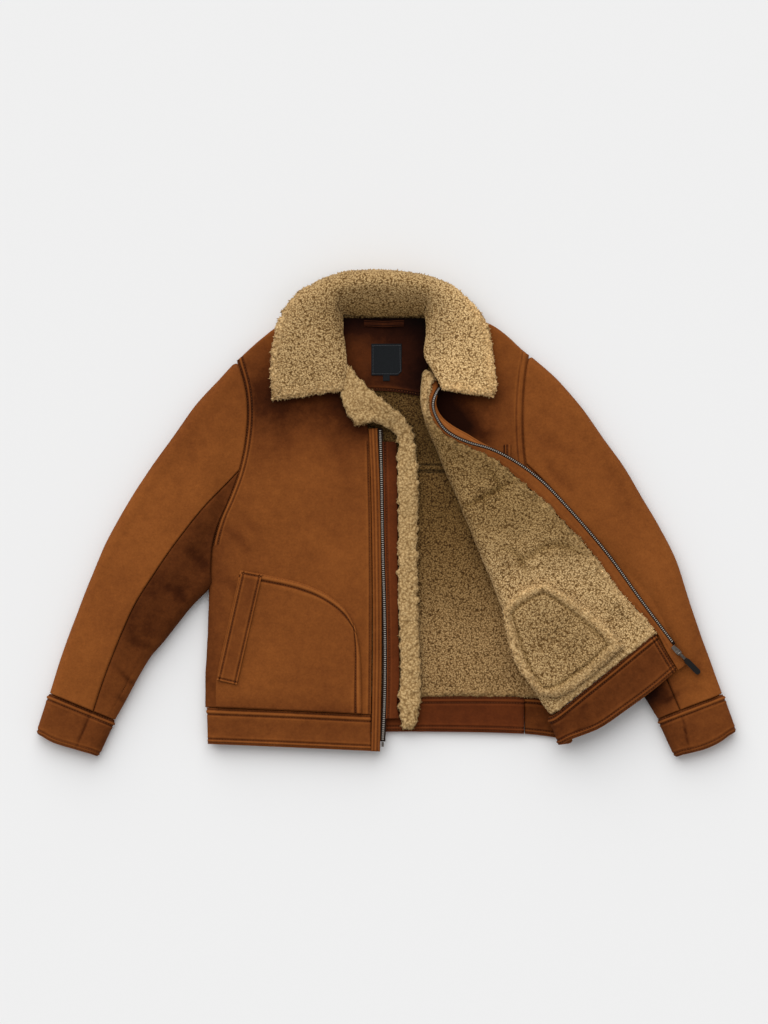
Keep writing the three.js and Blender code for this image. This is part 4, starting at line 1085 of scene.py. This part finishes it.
# ---------------------------------------------------------------- collar
COLLAR = [  # foot, crown, fall and edge, each x, y, z
    (-64, 530, 33, -80, 529, 37, -125, 522, 36, -166, 518, 33),
    (-57, 563, 33, -76, 563, 38, -125, 561, 37, -169, 560, 33),
    (-65, 628, 23, -83, 629, 39, -122, 632, 37, -158, 634, 32),
    (-65, 647, 15.8, -82, 661, 43, -108, 668, 40, -134, 670, 28),
    (-58, 648, 15.5, -72, 681, 45, -86, 689, 37, -93, 691, 14),
    (-40, 645, 13.9, -50, 691, 46, -57, 700, 36, -60, 702, 10),
    (8, 644, 13.8, 8, 695, 47, 9, 703, 37, 9, 704, 9),
    (50, 645, 13.9, 62, 685, 46, 73, 692, 36, 78, 692, 12),
    (62, 648, 16.5, 78, 670, 45, 101, 674, 39, 119, 669, 24),
    (67, 630, 26, 84, 636, 41, 118, 640, 39, 148, 641, 31),
    (64, 605, 33, 81, 604, 39, 122, 602, 37, 161, 599, 32),
    (61, 583, 36, 79, 579, 40, 122, 573, 37, 164, 567, 33),
    (74, 560, 42, 90, 556, 44, 128, 548, 40, 167, 541, 34),
    (90, 534, 44, 102, 530, 45, 134, 526, 41, 162, 522, 35),
]


def loft_rows(lines, along, across):
    """Rows through the same shares of several lines, sampled at shares of each row's length."""
    columns = [l(along) for l in lines]
    return np.stack([Line([c[j] for c in columns], 240)(across) for j in range(len(along))])


def build_collar():
    foot, crown, fall, edge = (Line([row[3 * k : 3 * k + 3] for row in COLLAR]) for k in range(4))
    rise = lambda t: foot(t) * 0.55 + crown(t) * 0.45 + np.array([0, 0, 2.0])
    across = stations(125, 1.75, (6, 6), (7, 7))
    along = stations(560, 1.75, (7, 7), (7, 7))
    grid = loft_rows([foot, rise, crown, fall, edge], along, across)
    collar = Sheet(grid, COLLAR_WALL, (5, 8, 8, 8), skip=(2, 2), edge=0.2)
    collar.face_up(len(along) // 2, len(across) // 2)
    collar.tufted(["right", "low", "high"], 11.0).ragged(["right"], 1.6, 12.0, 7)
    collar.tone += 0.45 * smoothstep(grid[..., 0], 40, 110)
    collar.tone += 0.2 * collar.fluff - 0.1
    # painted shade on the inside of the stand, along the collar's foot
    collar.shade([(-40, 645), (8, 644), (50, 645)], 30, 0.9)
    finish(
        collar, "collar_fleece", "collar", 3 * [WOOL], wool=Wool(12, ("fine", "coarse")),
        locks=("collar_locks", 112, 5.0, 4.6, 0.8, 13.0),
    )


# ---------------------------------------------------------------- the flipped front
FOLD_SIDE = Line([
    (60, 566), (55.5, 537), (55.5, 517), (61.5, 492), (72, 457), (90, 414), (117, 351), (147, 277),
    (174, 213), (194, 150), (217, 94), (250, 44),
])
F = FLIPPED_LEVEL
WOOL_POINTS = [
    (77, 552, 30), (70, 534, 42), (67, 514, 49), (70, 494, 50), (80, 476, 48), (99, 460, 45), (124, 447, 41),
    (147, 436, 38.5), (170, 424, F), (204, 396, F), (234, 370, F), (279, 324, F), (320, 277, F),
    (352, 232, F), (382, 199, F), (408, 169, F),
]
LEFT_WOOL = Line(WOOL_POINTS)
ZIP_POINTS = [
    (81, 537, 35), (76, 529, 45), (71, 515, 51), (71, 504, 52), (76, 490, 51), (87, 473, 49), (103, 461, 47),
    (126, 451, 43), (160, 441, 39.5), (195, 423, 37), (232, 396, 36), (277, 350, 36), (331, 287, 36),
    (384, 214, 36), (426, 158, 36),
]


LIP_INSIDE = [  # the turned edge beside the zip's upper end
    (78, 524, 47.5), (74.5, 512, 50), (76, 501, 50.5), (81, 489, 49.5), (93, 474.5, 47.5), (108, 464, 45.5),
    (129, 455, 42), (158, 445, 38.5),
]
LIP_OUTSIDE = [
    (79.5, 524, 47), (77.5, 512, 48), (80.5, 501, 47), (89, 489, 45), (105, 477, 42.5), (126, 465.5, 40),
    (146, 453, 37.5), (160, 446, 36.5),
]


def left_front_row(t, cells_under, cells_over):
    """One row of the flipped front as points, from the side over the fold to the wool's edge."""
    half = SHEARLING / 2
    side, fold, wool = LEFT_SIDE(1 - t), FOLD_SIDE(t), LEFT_WOOL(t)
    gap = wool[:2] - fold[:2]
    wide = float(np.hypot(*gap))
    towards = np.array([gap[0], gap[1], 0]) / wide
    crest = wool[2] + (FLIPPED_LEVEL - wool[2]) * float(smoothstep(wide, 20, 70))
    rise = min(FOLD_RADIUS, (crest - FRONT_LEVEL) / 2)
    over = min(FOLD_RADIUS, wide - half)

    def bent(inset, z):
        p = fold + towards * (half + inset)
        return np.array([p[0], p[1], z])

    roll = []
    for angle in np.radians(np.linspace(0, 90, 7)):
        roll.append(bent(FOLD_RADIUS * (1 - math.sin(angle)), FRONT_LEVEL + rise * (1 - math.cos(angle))))
    straight = (crest - rise) - roll[-1][2]
    if straight > 1:
        roll += [bent(0, roll[-1][2] + straight * s) for s in (0.33, 0.66)]
    for angle in np.radians(np.linspace(15, 90, 6)):
        roll.append(bent(over * (1 - math.cos(angle)), crest - rise + rise * math.sin(angle)))
    shoulder = math.exp(-t / 0.07)

    def drawn(share, bend_x, bend_y):
        p = side * (1 - share) + fold * share
        return np.array([p[0] + bend_x * shoulder, p[1] + bend_y * shoulder, FRONT_LEVEL])

    outer = np.array([side[0], side[1], FRONT_LEVEL])
    under = Line([outer, drawn(0.33, -15, 55), drawn(0.68, -22, 42), roll[0]], 240)(cells_under)
    under[:, 2] = FRONT_LEVEL - droop(under)
    roll_line = Line(roll, 200)(np.linspace(0, 1, 17)[1:-1])
    crown = roll[-1]
    flipped = crown + (wool - crown) * cells_over[:, None]
    return np.vstack([under, roll_line, flipped])


def build_left_front():
    under = stations(120, 4.4, (5, 14), None)
    over = stations(110, WOOL_CELL * 0.95, None, (6, 6))
    along = stations(620, WOOL_CELL * 1.1, (5, 6), (5, 6))
    grid = np.stack([left_front_row(t, under, over) for t in along])
    front = Sheet(grid, SHEARLING, (5, 6.5, 5, 6), skip=(2, 2), edge=0.2)
    front.keep_first = 22
    # the fine side is the wool: below the part that lies suede up, and above the flipped part
    middle = grid.shape[1] - 20
    front.face_up(len(along) // 2, middle)
    front.drop += 0.5 * waves(grid, 70, 51)
    front.lift += 0.9 * waves(grid, 55, 52)
    for points, depth, width in (
        ([(112, 352), (150, 372), (196, 398)], 2.2, 4.0),
        ([(190, 268), (255, 300), (310, 282)], 1.8, 6.0),
        ([(170, 300), (200, 285), (215, 250)], 2.0, 5.0),
        ([(150, 420), (170, 395), (176, 370)], 1.6, 4.0),
    ):
        front.crease(points, depth, width)
    front.tufted(["right", "high"], 8.0).ragged(["right"], 2.2, 18.0, 8)
    front.free = ["right"]
    # the wool is painted darker up the flipped front towards the neck, painted shade of the hollow under the
    # collar, and lighter again at its top by the collar
    front.tone += 0.12
    for low, high, amount in ((235, 350, -0.78), (370, 450, -0.2), (470, 510, 0.8)):
        front.tone += amount * smoothstep(grid[..., 1], low, high)
    for offset in (2.4, 10.6):
        front.groove("left", offset, back=True, end=0.42, depth=0.7, width=1.0, dark=0.5)
    # painted shade: the deep hollow inside the zip's loop and under the collar's leaf, on the suede side
    front.shade([(80, 540), (88, 505), (104, 486)], 29, 2.2, back=True)
    front.shade([(110, 482), (150, 462)], 18, 0.8, back=True)
    front.shade([(90, 535), (162, 522)], 24, 0.9, back=True)
    for points in (
        [(140, 376), (150, 366), (158, 352), (166, 344)],
        [(152, 384), (164, 376), (172, 362)],
        [(168, 268), (176, 258), (180, 244)],
        [(176, 276), (186, 262), (192, 250)],
        [(182, 246), (190, 238), (196, 228)],
        [(346, 212), (352, 200), (358, 192), (366, 180)],
        [(330, 216), (340, 200), (350, 186)],
    ):
        front.crease(points, 1.1, 1.4)
    finish(
        front, "left_front_fleece", "left_front", [WOOL, SUEDE, WOOL],
        wool=Wool(14, parted=((150, 365, 26), (183, 262, 26), (352, 196, 22))),
        locks=("left_front_locks", 114, 4.0, 4.5, 0.8, 9.0),
    )

    corner = [(424, 139, 36), (440, 113, 36)]
    wool_side = Line([(x, y, z - 0.5) for x, y, z in WOOL_POINTS] + corner)
    zip_side = Line(ZIP_POINTS + [(438, 141, 36), (452, 121, 36)])
    strip = sheet_of(between(wool_side, zip_side), SINGLE_HIDE, 1.6, (0, 0, 2, 2), 1.5, cells=(1.8, 3))
    strip.groove("left", 4.0, depth=0.7, width=1.1)
    strip.tone -= 0.35
    finish(strip, "left_zip_facing_strip", "left_zip_facing")

    welt_plan = straight_patch((179, 412), (179, 450), (190, 407), (190, 451))
    welt = sheet_of(welt_plan, 2.4, 2.0, 3, 1.6, FRONT_TOP + 0.3 + 1.2)
    welt.tone -= 0.4
    welt.groove("left", 5.2, dark=1.6, **SEWN).groove("left", 1.0, dark=1.6, **SEWN)
    stitches.sew(welt, "left", 5.2)
    finish(welt, "chest_welt_strip", "chest_welt")

    inside = Line([(x, y, z - 1) for x, y, z in LIP_INSIDE])
    outside = Line([(x, y, z - 1) for x, y, z in LIP_OUTSIDE])
    lip = sheet_of(between(inside, outside), LIP_WALL, 1.2, 0.9, 0.9, cells=(1.2, 2.4))
    lip.face_up(10, 2)
    lip.tone += 0.5
    lip.groove("right", 2.4, depth=0.4, width=0.8)
    finish(lip, "left_zip_lip", None)


LEFT_HEM = [  # seam x, seam y, edge x, edge y, level
    (211, 71.5, 211, 17, 4.7),
    (238, 69, 240, 14, 4.7),
    (258, 62, 264, 10, 4.7),
    (269, 56, 275, 7, 7.4),
    (273, 51, 279, 4, 12),
    (269, 47, 277, 2.5, 16.6),
    (261, 45, 272, 2, 19.4),
    (252, 43, 267, 1.5, 23),
    (248.5, 42, 264.5, 1.5, 28.5),
    (253, 43, 268, 2.5, 34),
    (263, 50, 277, 8, F),
    (300, 80, 322, 26, F),
    (340, 112, 362, 53, F),
    (380, 145, 405, 85, F),
    (406, 166, 438, 113, F),
]


def build_left_hem():
    seam = Line([(a - 1.0, b + 1.6, z) for a, b, c, d, z in LEFT_HEM])
    edge = Line([(c, d, z) for a, b, c, d, z in LEFT_HEM])
    across = stations(60, SUEDE_CELL, (3, 13), (3.4, 11))
    along = stations(330, 3.4, (2, 3), (3, 10))
    a = across[None, :, None]
    grid = seam(along)[:, None] * (1 - a) + edge(along)[:, None] * a
    band = Sheet(grid, 8.0, (3, 3.4, 2, 3), skip=(2, 1))
    band.face_up(-20, 8)
    band.lift += 0.5 * waves(grid, 60, 61)
    # painted shade: the flipped hem slopes down away from the light
    band.tone -= 0.9
    band.roll("left", 2.6, 8.8, 0.7).roll("right", 0.5, 7.4, 0.6)
    double_stitch(band, "left", 2.4, 9.0)
    double_stitch(band, "right", 3.2, 7.6)
    double_stitch(band, "high", 2.4, 7.0)
    finish(band, "left_hem_band", "left_hem")


def build_pocket_bag():
    plan = outline(
        [(178, 200), (188, 150), (204, 112), (232, 78)], [(240, 243), (285, 217), (330, 180), (358, 150)],
        [(178, 200), (192, 222), (220, 238), (240, 243)], [(232, 78), (258, 74), (300, 98), (358, 150)],
    )
    bag = sheet_of(plan, 11.0, WOOL_CELL, 8, 9, FLIPPED_TOP + 0.2 + 5.5, skip=(3, 3), edge=0.1)
    bag.face_up(20, 20)
    nearest = np.minimum(np.minimum(bag.left, bag.right), np.minimum(bag.low, bag.high))
    bag.lift += 1.6 * bell(nearest - 8, 6) - 2.4 * bell(nearest - 17, 2.2)
    # painted shade in the seam's groove inside the rim
    bag.tone -= 0.6 * bell(nearest - 17, 2.4)
    bag.tufted(["left", "right", "low", "high"], 11.0)
    bag.tone += 0.35 * bag.fluff - 0.2
    for points in (
        [(238, 172), (250, 160), (256, 148)],
        [(252, 176), (262, 160), (266, 146)],
        [(244, 152), (256, 138), (268, 128)],
        [(270, 150), (282, 140), (296, 132)],
        [(230, 190), (240, 184), (250, 182)],
    ):
        bag.crease(points, 1.3, 1.4)
    finish(
        bag, "inner_pocket_fleece", "left_pocket_bag", 3 * [WOOL],
        wool=Wool(16, ("fine", "coarse"), parted=((246, 168, 34), (280, 140, 26))),
        locks=("inner_pocket_locks", 116, 4.6, 4.2, 0.8, 12.0),
    )


# ---------------------------------------------------------------- sleeves
def beside_armhole(side, sign):
    stretch = side.part(1, side.share_at_y(UNDERARM_Y))

    def at(share):
        p = stretch(share).copy()
        p[..., 0] += sign * (0.3 + 2.0 * np.asarray(share) ** 4)
        return p

    return at


SLEEVES = {
    "right": {
        "outer": [
            (-221, 577), (-247, 549), (-282, 511), (-316, 463), (-351, 415), (-386, 360), (-413, 312),
            (-437, 257), (-463, 191), (-485, 130), (-501, 78),
        ],
        "inner": [(-263, 236), (-297, 200), (-335, 151), (-354, 128), (-390, 61), (-403, 38)],
        "armhole": beside_armhole(RIGHT_SIDE, -1),
        "seam": (0.48, 0.67, 2.0),
        "crown": 10,
        "crown_ends": (0.96, 0.96),
        "cuff": [(-520, 19), (-500, 6), (-460, -7), (-428, -16)],
        "cuff_seam": [(-437, 53), (-463, -6)],
        # how much darker the top and the under panel are painted: painted shade
        "tones": (0.0, 0.85),
        "creases": [
            ([(-400, 118), (-384, 98), (-372, 92)], 1.8, 4),
            ([(-402, 78), (-388, 62), (-380, 58)], 1.6, 4),
            ([(-380, 160), (-360, 150), (-346, 148)], 1.3, 6),
            ([(-330, 240), (-310, 232), (-296, 214)], 1.4, 8),
            ([(-300, 300), (-276, 276), (-262, 262)], 1.2, 9),
        ],
    },
    "left": {
        "outer": [
            (218, 583), (257, 549), (294, 507), (326, 462), (359, 417), (386, 371), (412, 328), (437, 278),
            (453, 229), (471, 176), (489, 127), (507, 77),
        ],
        "inner": [(265, 236), (298, 198), (334, 150), (354, 128), (392, 70), (410, 40)],
        "armhole": beside_armhole(LEFT_SIDE, 1),
        "seam": (0.465, 0.655, 1.3),
        "crown": 7,
        "crown_ends": (0.6, 0.32),
        "cuff": [(527, 22), (504, 5), (480, -6), (436, -17)],
        "cuff_seam": [(446, 45), (458, -9)],
        # how much darker the top and the under panel are painted: painted shade
        "tones": (-0.05, 0.1),
        "creases": [
            ([(240, 430), (262, 400), (290, 380)], 1.6, 9),
            ([(222, 470), (250, 452), (280, 440)], 1.2, 10),
            ([(330, 420), (352, 380), (372, 330)], 0.9, 12),
            ([(460, 150), (470, 120), (482, 100)], 1.0, 8),
            ([(420, 64), (440, 78), (456, 84)], 1.4, 4),
        ],
    },
}


def round_edge(width, thick, height, far):
    radius = (height - thick) / 2
    angles = np.radians(np.linspace(90, -90, 15))
    share = (thick / 2 + radius * (1 - np.cos(angles))) / width
    return list(zip(1 - share if far else share, height / 2 + radius * np.sin(angles)))


def ring_row(plan, t, section):
    shares = np.array([s for s, z in section])
    levels = np.array([z for s, z in section])
    near = plan(shares, np.array([t]))[0]
    away = plan(shares, np.array([0.012 + 0.988 * t]))[0]
    low = levels < FRONT_LEVEL - 6
    row = np.where(low[:, None], away, near)
    row[:, 2] = levels
    return row


def even_row(row, spec):
    """Points along a row of straight and bent stretches, at given shares of its length."""
    steps = run_lengths(row)
    return read_at(spec * steps[-1], steps, row)


def crown_at(cut, share, t):
    """How far the rounded top of a sleeve rises over its edges."""
    start = 0.1
    one, two = cut["crown_ends"]
    end = one + (two - one) * float(smoothstep(t, 0.05, 0.8))
    across = np.clip((share - start) / (end - start), 0, 1)
    along = float(smoothstep(t, 0.03, 0.24) * (1 - 0.7 * smoothstep(t, 0.76, 1)))
    return cut["crown"] * np.sin(np.pi * across) * along


def build_sleeve(side):
    cut = SLEEVES[side]
    outer, inner = Line(cut["outer"]), Line(cut["inner"])
    plan = patch(outer, inner, cut["armhole"], Line([outer(1.0), inner(1.0)]))
    thick = SLEEVE_WALL
    along = stations(560, 4.4, (4, 5), (4, 5))

    def section(t, top):
        height = SLEEVE_HEIGHT - 3.5 * (1 - float(smoothstep(t, 0, 0.16)))
        height -= 3.4 * float(smoothstep(t, 0.75, 1))
        ends = plan(np.array([0.0, 1.0]), np.array([t]))[0]
        width = float(np.linalg.norm(ends[0] - ends[1]))
        first, last, power = cut["seam"]
        seam = first + (last - first) * t**power
        lip, gap = 44 / width, 0.15 / width
        bend = round_edge(width, thick, height, not top)
        start = seam - gap if top else seam + gap
        end = lip - gap if top else lip + gap
        on_top = [
            (s, height - thick / 2 + crown_at(cut, s, t)) for s in np.linspace(start, bend[0][0], 24)[:-1]
        ]
        on_floor = [(s, thick / 2) for s in np.linspace(bend[-1][0], end, 12)[1:]]
        return on_top + bend + on_floor

    for top, name in ((True, "top"), (False, "under")):
        rows = [ring_row(plan, t, section(t, top)) for t in along]
        long = np.linalg.norm(np.diff(rows[len(rows) // 2], axis=0), axis=1).sum()
        across = stations(long, 4.2, (4.5, 6), (3, 4))
        grid = np.stack([even_row(row, across) for row in rows])
        sleeve = Sheet(grid, thick, (4.5, 3, 4.5, 2), skip=(3, 3))
        sleeve.face_up(20, 8)
        above = smoothstep(grid[..., 2], 14, 22)
        sleeve.lift += above * (0.9 * waves(grid, 90, 71) + 0.25 * waves(grid, 28, 72))
        # painted shade of each panel: the under panels slope away from the light and are painted darker
        sleeve.tone -= cut["tones"][0 if top else 1]
        # painted shade by the right shoulder; the right sleeve is also lighter towards the cuff, and its
        # under panel darker around its middle
        if side == "right" and top:
            sleeve.shade([(-225, 580), (-265, 520), (-300, 470)], 50, 0.35)
            sleeve.tone += 0.25 * (1 - smoothstep(grid[..., 1], 110, 200))
        elif side == "right":
            sleeve.tone -= 0.3 * bell(grid[..., 1] - 250, 60)
            sleeve.tone += 0.5 * (1 - smoothstep(grid[..., 1], 90, 190))
        if side == "left":
            # painted shadow that the flipped hem casts on the left sleeve
            sleeve.shade([(250, 40), (330, 40), (404, 78)], 27, 2.2)
        for points, depth, width in cut["creases"]:
            before = sleeve.lift.copy()
            sleeve.crease(points, depth, width)
            sleeve.lift = before + (sleeve.lift - before) * above
        finish(sleeve, f"{side}_sleeve_{name}_suede", f"{side}_sleeve_{name}", [SUEDE, WOOL, SUEDE])

    end_line = Line(cut["cuff"])
    seam_points = plan(np.linspace(0, 1, 5), np.array([1.0]))[0]
    seam_line = Line(seam_points)
    rows = []
    shares = stations(42, 3.6, (3, 12), (3, 9), fine=1.3)
    for t in shares:
        share = 0.006 + 0.994 * t
        row_line = lambda s: seam_line(s) * (1 - share) + end_line(s) * share
        across = row_line(1.0) - row_line(0.0)
        width = float(np.linalg.norm(across)) + 2
        rounded = 2.5 * max(0.0, (share - 0.72) / 0.28) ** 2
        unit = across / np.linalg.norm(across)
        near = round_edge(width, CUFF_WALL, CUFF_HEIGHT, False)
        far = round_edge(width, CUFF_WALL, CUFF_HEIGHT, True)
        flat = np.linspace(near[0][0], 1 - near[0][0], 26)[1:-1]
        loop = [(s, near[0][1]) for s in flat] + far + [(s, near[-1][1]) for s in flat[::-1]] + near[::-1]
        s = np.array([p[0] for p in loop])
        row = row_line(s) + unit * ((s - 0.5) * 2 * (1 - rounded))[:, None]
        row[:, 2] = [p[1] for p in loop]
        rows.append(row)
    grid = np.stack(rows)
    cuff = Sheet(grid, CUFF_WALL, (0, 0, 1.8, 3.4), ring=True, skip=(1, 2))
    cuff.face_up(len(rows) // 2, 10)
    cuff.lift += smoothstep(grid[..., 2], 12, 17) * 0.5 * waves(grid, 40, 81)
    cuff.tone -= 0.45
    cuff.shade([tuple(inner(1.0)[:2]), cut["cuff"][-1]], 26, 0.4)
    cuff.roll("low", 2.6, 8.4, 0.8).roll("high", 0.4, 6.6, 0.8)
    double_stitch(cuff, "low", 2.2, 9.0)
    double_stitch(cuff, "high", 3.0, 7.0)
    cuff.crease(cut["cuff_seam"], 2.2, 1.7)
    finish(cuff, f"{side}_cuff_band", f"{side}_cuff")


# ---------------------------------------------------------------- zips
def build_zip(name, line, width, level, half):
    """A zip's chain: a cloth tape and metal teeth across it."""
    tape = sheet_of(ribbon(line, width), 1.4, 1.3, (1, 1, 0, 0), (0.7, 0.7, 0, 0), level, cells=(1.3, 5))
    finish(tape, name + "_tape", name, 3 * [TAPE])
    points, normals = tape.path("left", float(np.median(tape.left[:, -1])) / 2, 0.004, 0.996, 900)
    steps = run_lengths(points)
    teeth = Studs()
    for at in np.arange(1.5, steps[-1] - 1, TOOTH_PITCH):
        p, q = read_at([at, at + 0.5], steps, points)
        n, way = unit(read_at(at, steps, normals)), unit(q - p)
        side = np.cross(way, n)
        teeth.add([
            [
                p + n * rise + side * a * (half - inset) + way * b * (0.75 - inset * 0.7)
                for a, b in ((-1, -1), (1, -1), (1, 1), (-1, 1))
            ]
            for rise, inset in ((-0.3, 0.0), (1.0, 0.0), (1.5, 0.4))
        ])
    teeth.build(name + "_teeth", TEETH, "zip_metal", smooth=False)


build_back()
build_right_front()
build_right_pocket()
build_wind_flap()
build_neck()
build_collar()
build_left_front()
build_left_hem()
build_pocket_bag()
build_sleeve("right")
build_sleeve("left")
build_zip("right_zip", RIGHT_ZIP, 8.0, FRONT_LEVEL, 1.7)
build_zip("left_zip", moved_aside(Line(ZIP_POINTS + [(432, 150, 36.6)]), -2.6), 4.6, None, 1.25)
stitches.build("topstitching", THREAD, "suede")
label_stitches.build("label_stitching", LABEL_THREAD, "label_cloth")

for name, material in (
    ("zip_slider", METAL), ("pull_link", METAL), ("pull_tab", PULL), ("right_zip_pin", METAL),
):
    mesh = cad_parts[name].data
    mesh.materials.clear()
    mesh.materials.append(material)

# ---------------------------------------------------------------- floor, light and camera
FLOOR_HALF = 6
FLOOR_Z = -0.0004
KEY_FROM = (-0.28, 1.0, 0.92)
KEY_POWER = 2.6
KEY_ANGLE = 75
FILL_POWER = 0.485
CAMERA_HEIGHT = 12.0
FRAME_TALL = 1.536
SENSOR = 36


def linked(name, data):
    obj = bpy.data.objects.new(name, data)
    bpy.context.collection.objects.link(obj)
    return obj


floor_mesh = bpy.data.meshes.new("floor")
floor_corners = [(x * FLOOR_HALF, y * FLOOR_HALF, FLOOR_Z) for x, y in ((-1, -1), (1, -1), (1, 1), (-1, 1))]
floor_mesh.from_pydata(floor_corners, [], [(0, 1, 2, 3)])
floor_mesh.materials.append(Finish("floor_paper", {
    "Base Color": (0.84, 0.84, 0.84, 1), "Roughness": 1.0, "Specular IOR Level": 0.0,
}).material)
linked("floor", floor_mesh)

sun_data = bpy.data.lights.new("key", "SUN")
sun_data.energy = KEY_POWER
sun_data.angle = math.radians(KEY_ANGLE)
sun = linked("key", sun_data)
sun.rotation_mode = "QUATERNION"
sun.rotation_quaternion = Vector([-v for v in KEY_FROM]).to_track_quat("-Z", "Y")
world = bpy.data.worlds.new("studio")
world.use_nodes = True
for number, value in enumerate(((1, 1, 1, 1), FILL_POWER)):
    world.node_tree.nodes["Background"].inputs[number].default_value = value

camera_data = bpy.data.cameras.new("camera")
camera_data.sensor_width = SENSOR
camera_data.lens = SENSOR * CAMERA_HEIGHT / FRAME_TALL
camera_data.clip_end = 100
camera = linked("camera", camera_data)
camera.location = (SHIFT[0] / 1000, (SHIFT[1] + 349.5) / 1000, CAMERA_HEIGHT)
scene = bpy.context.scene
scene.world, scene.camera = world, camera
scene.view_settings.view_transform = "Standard"
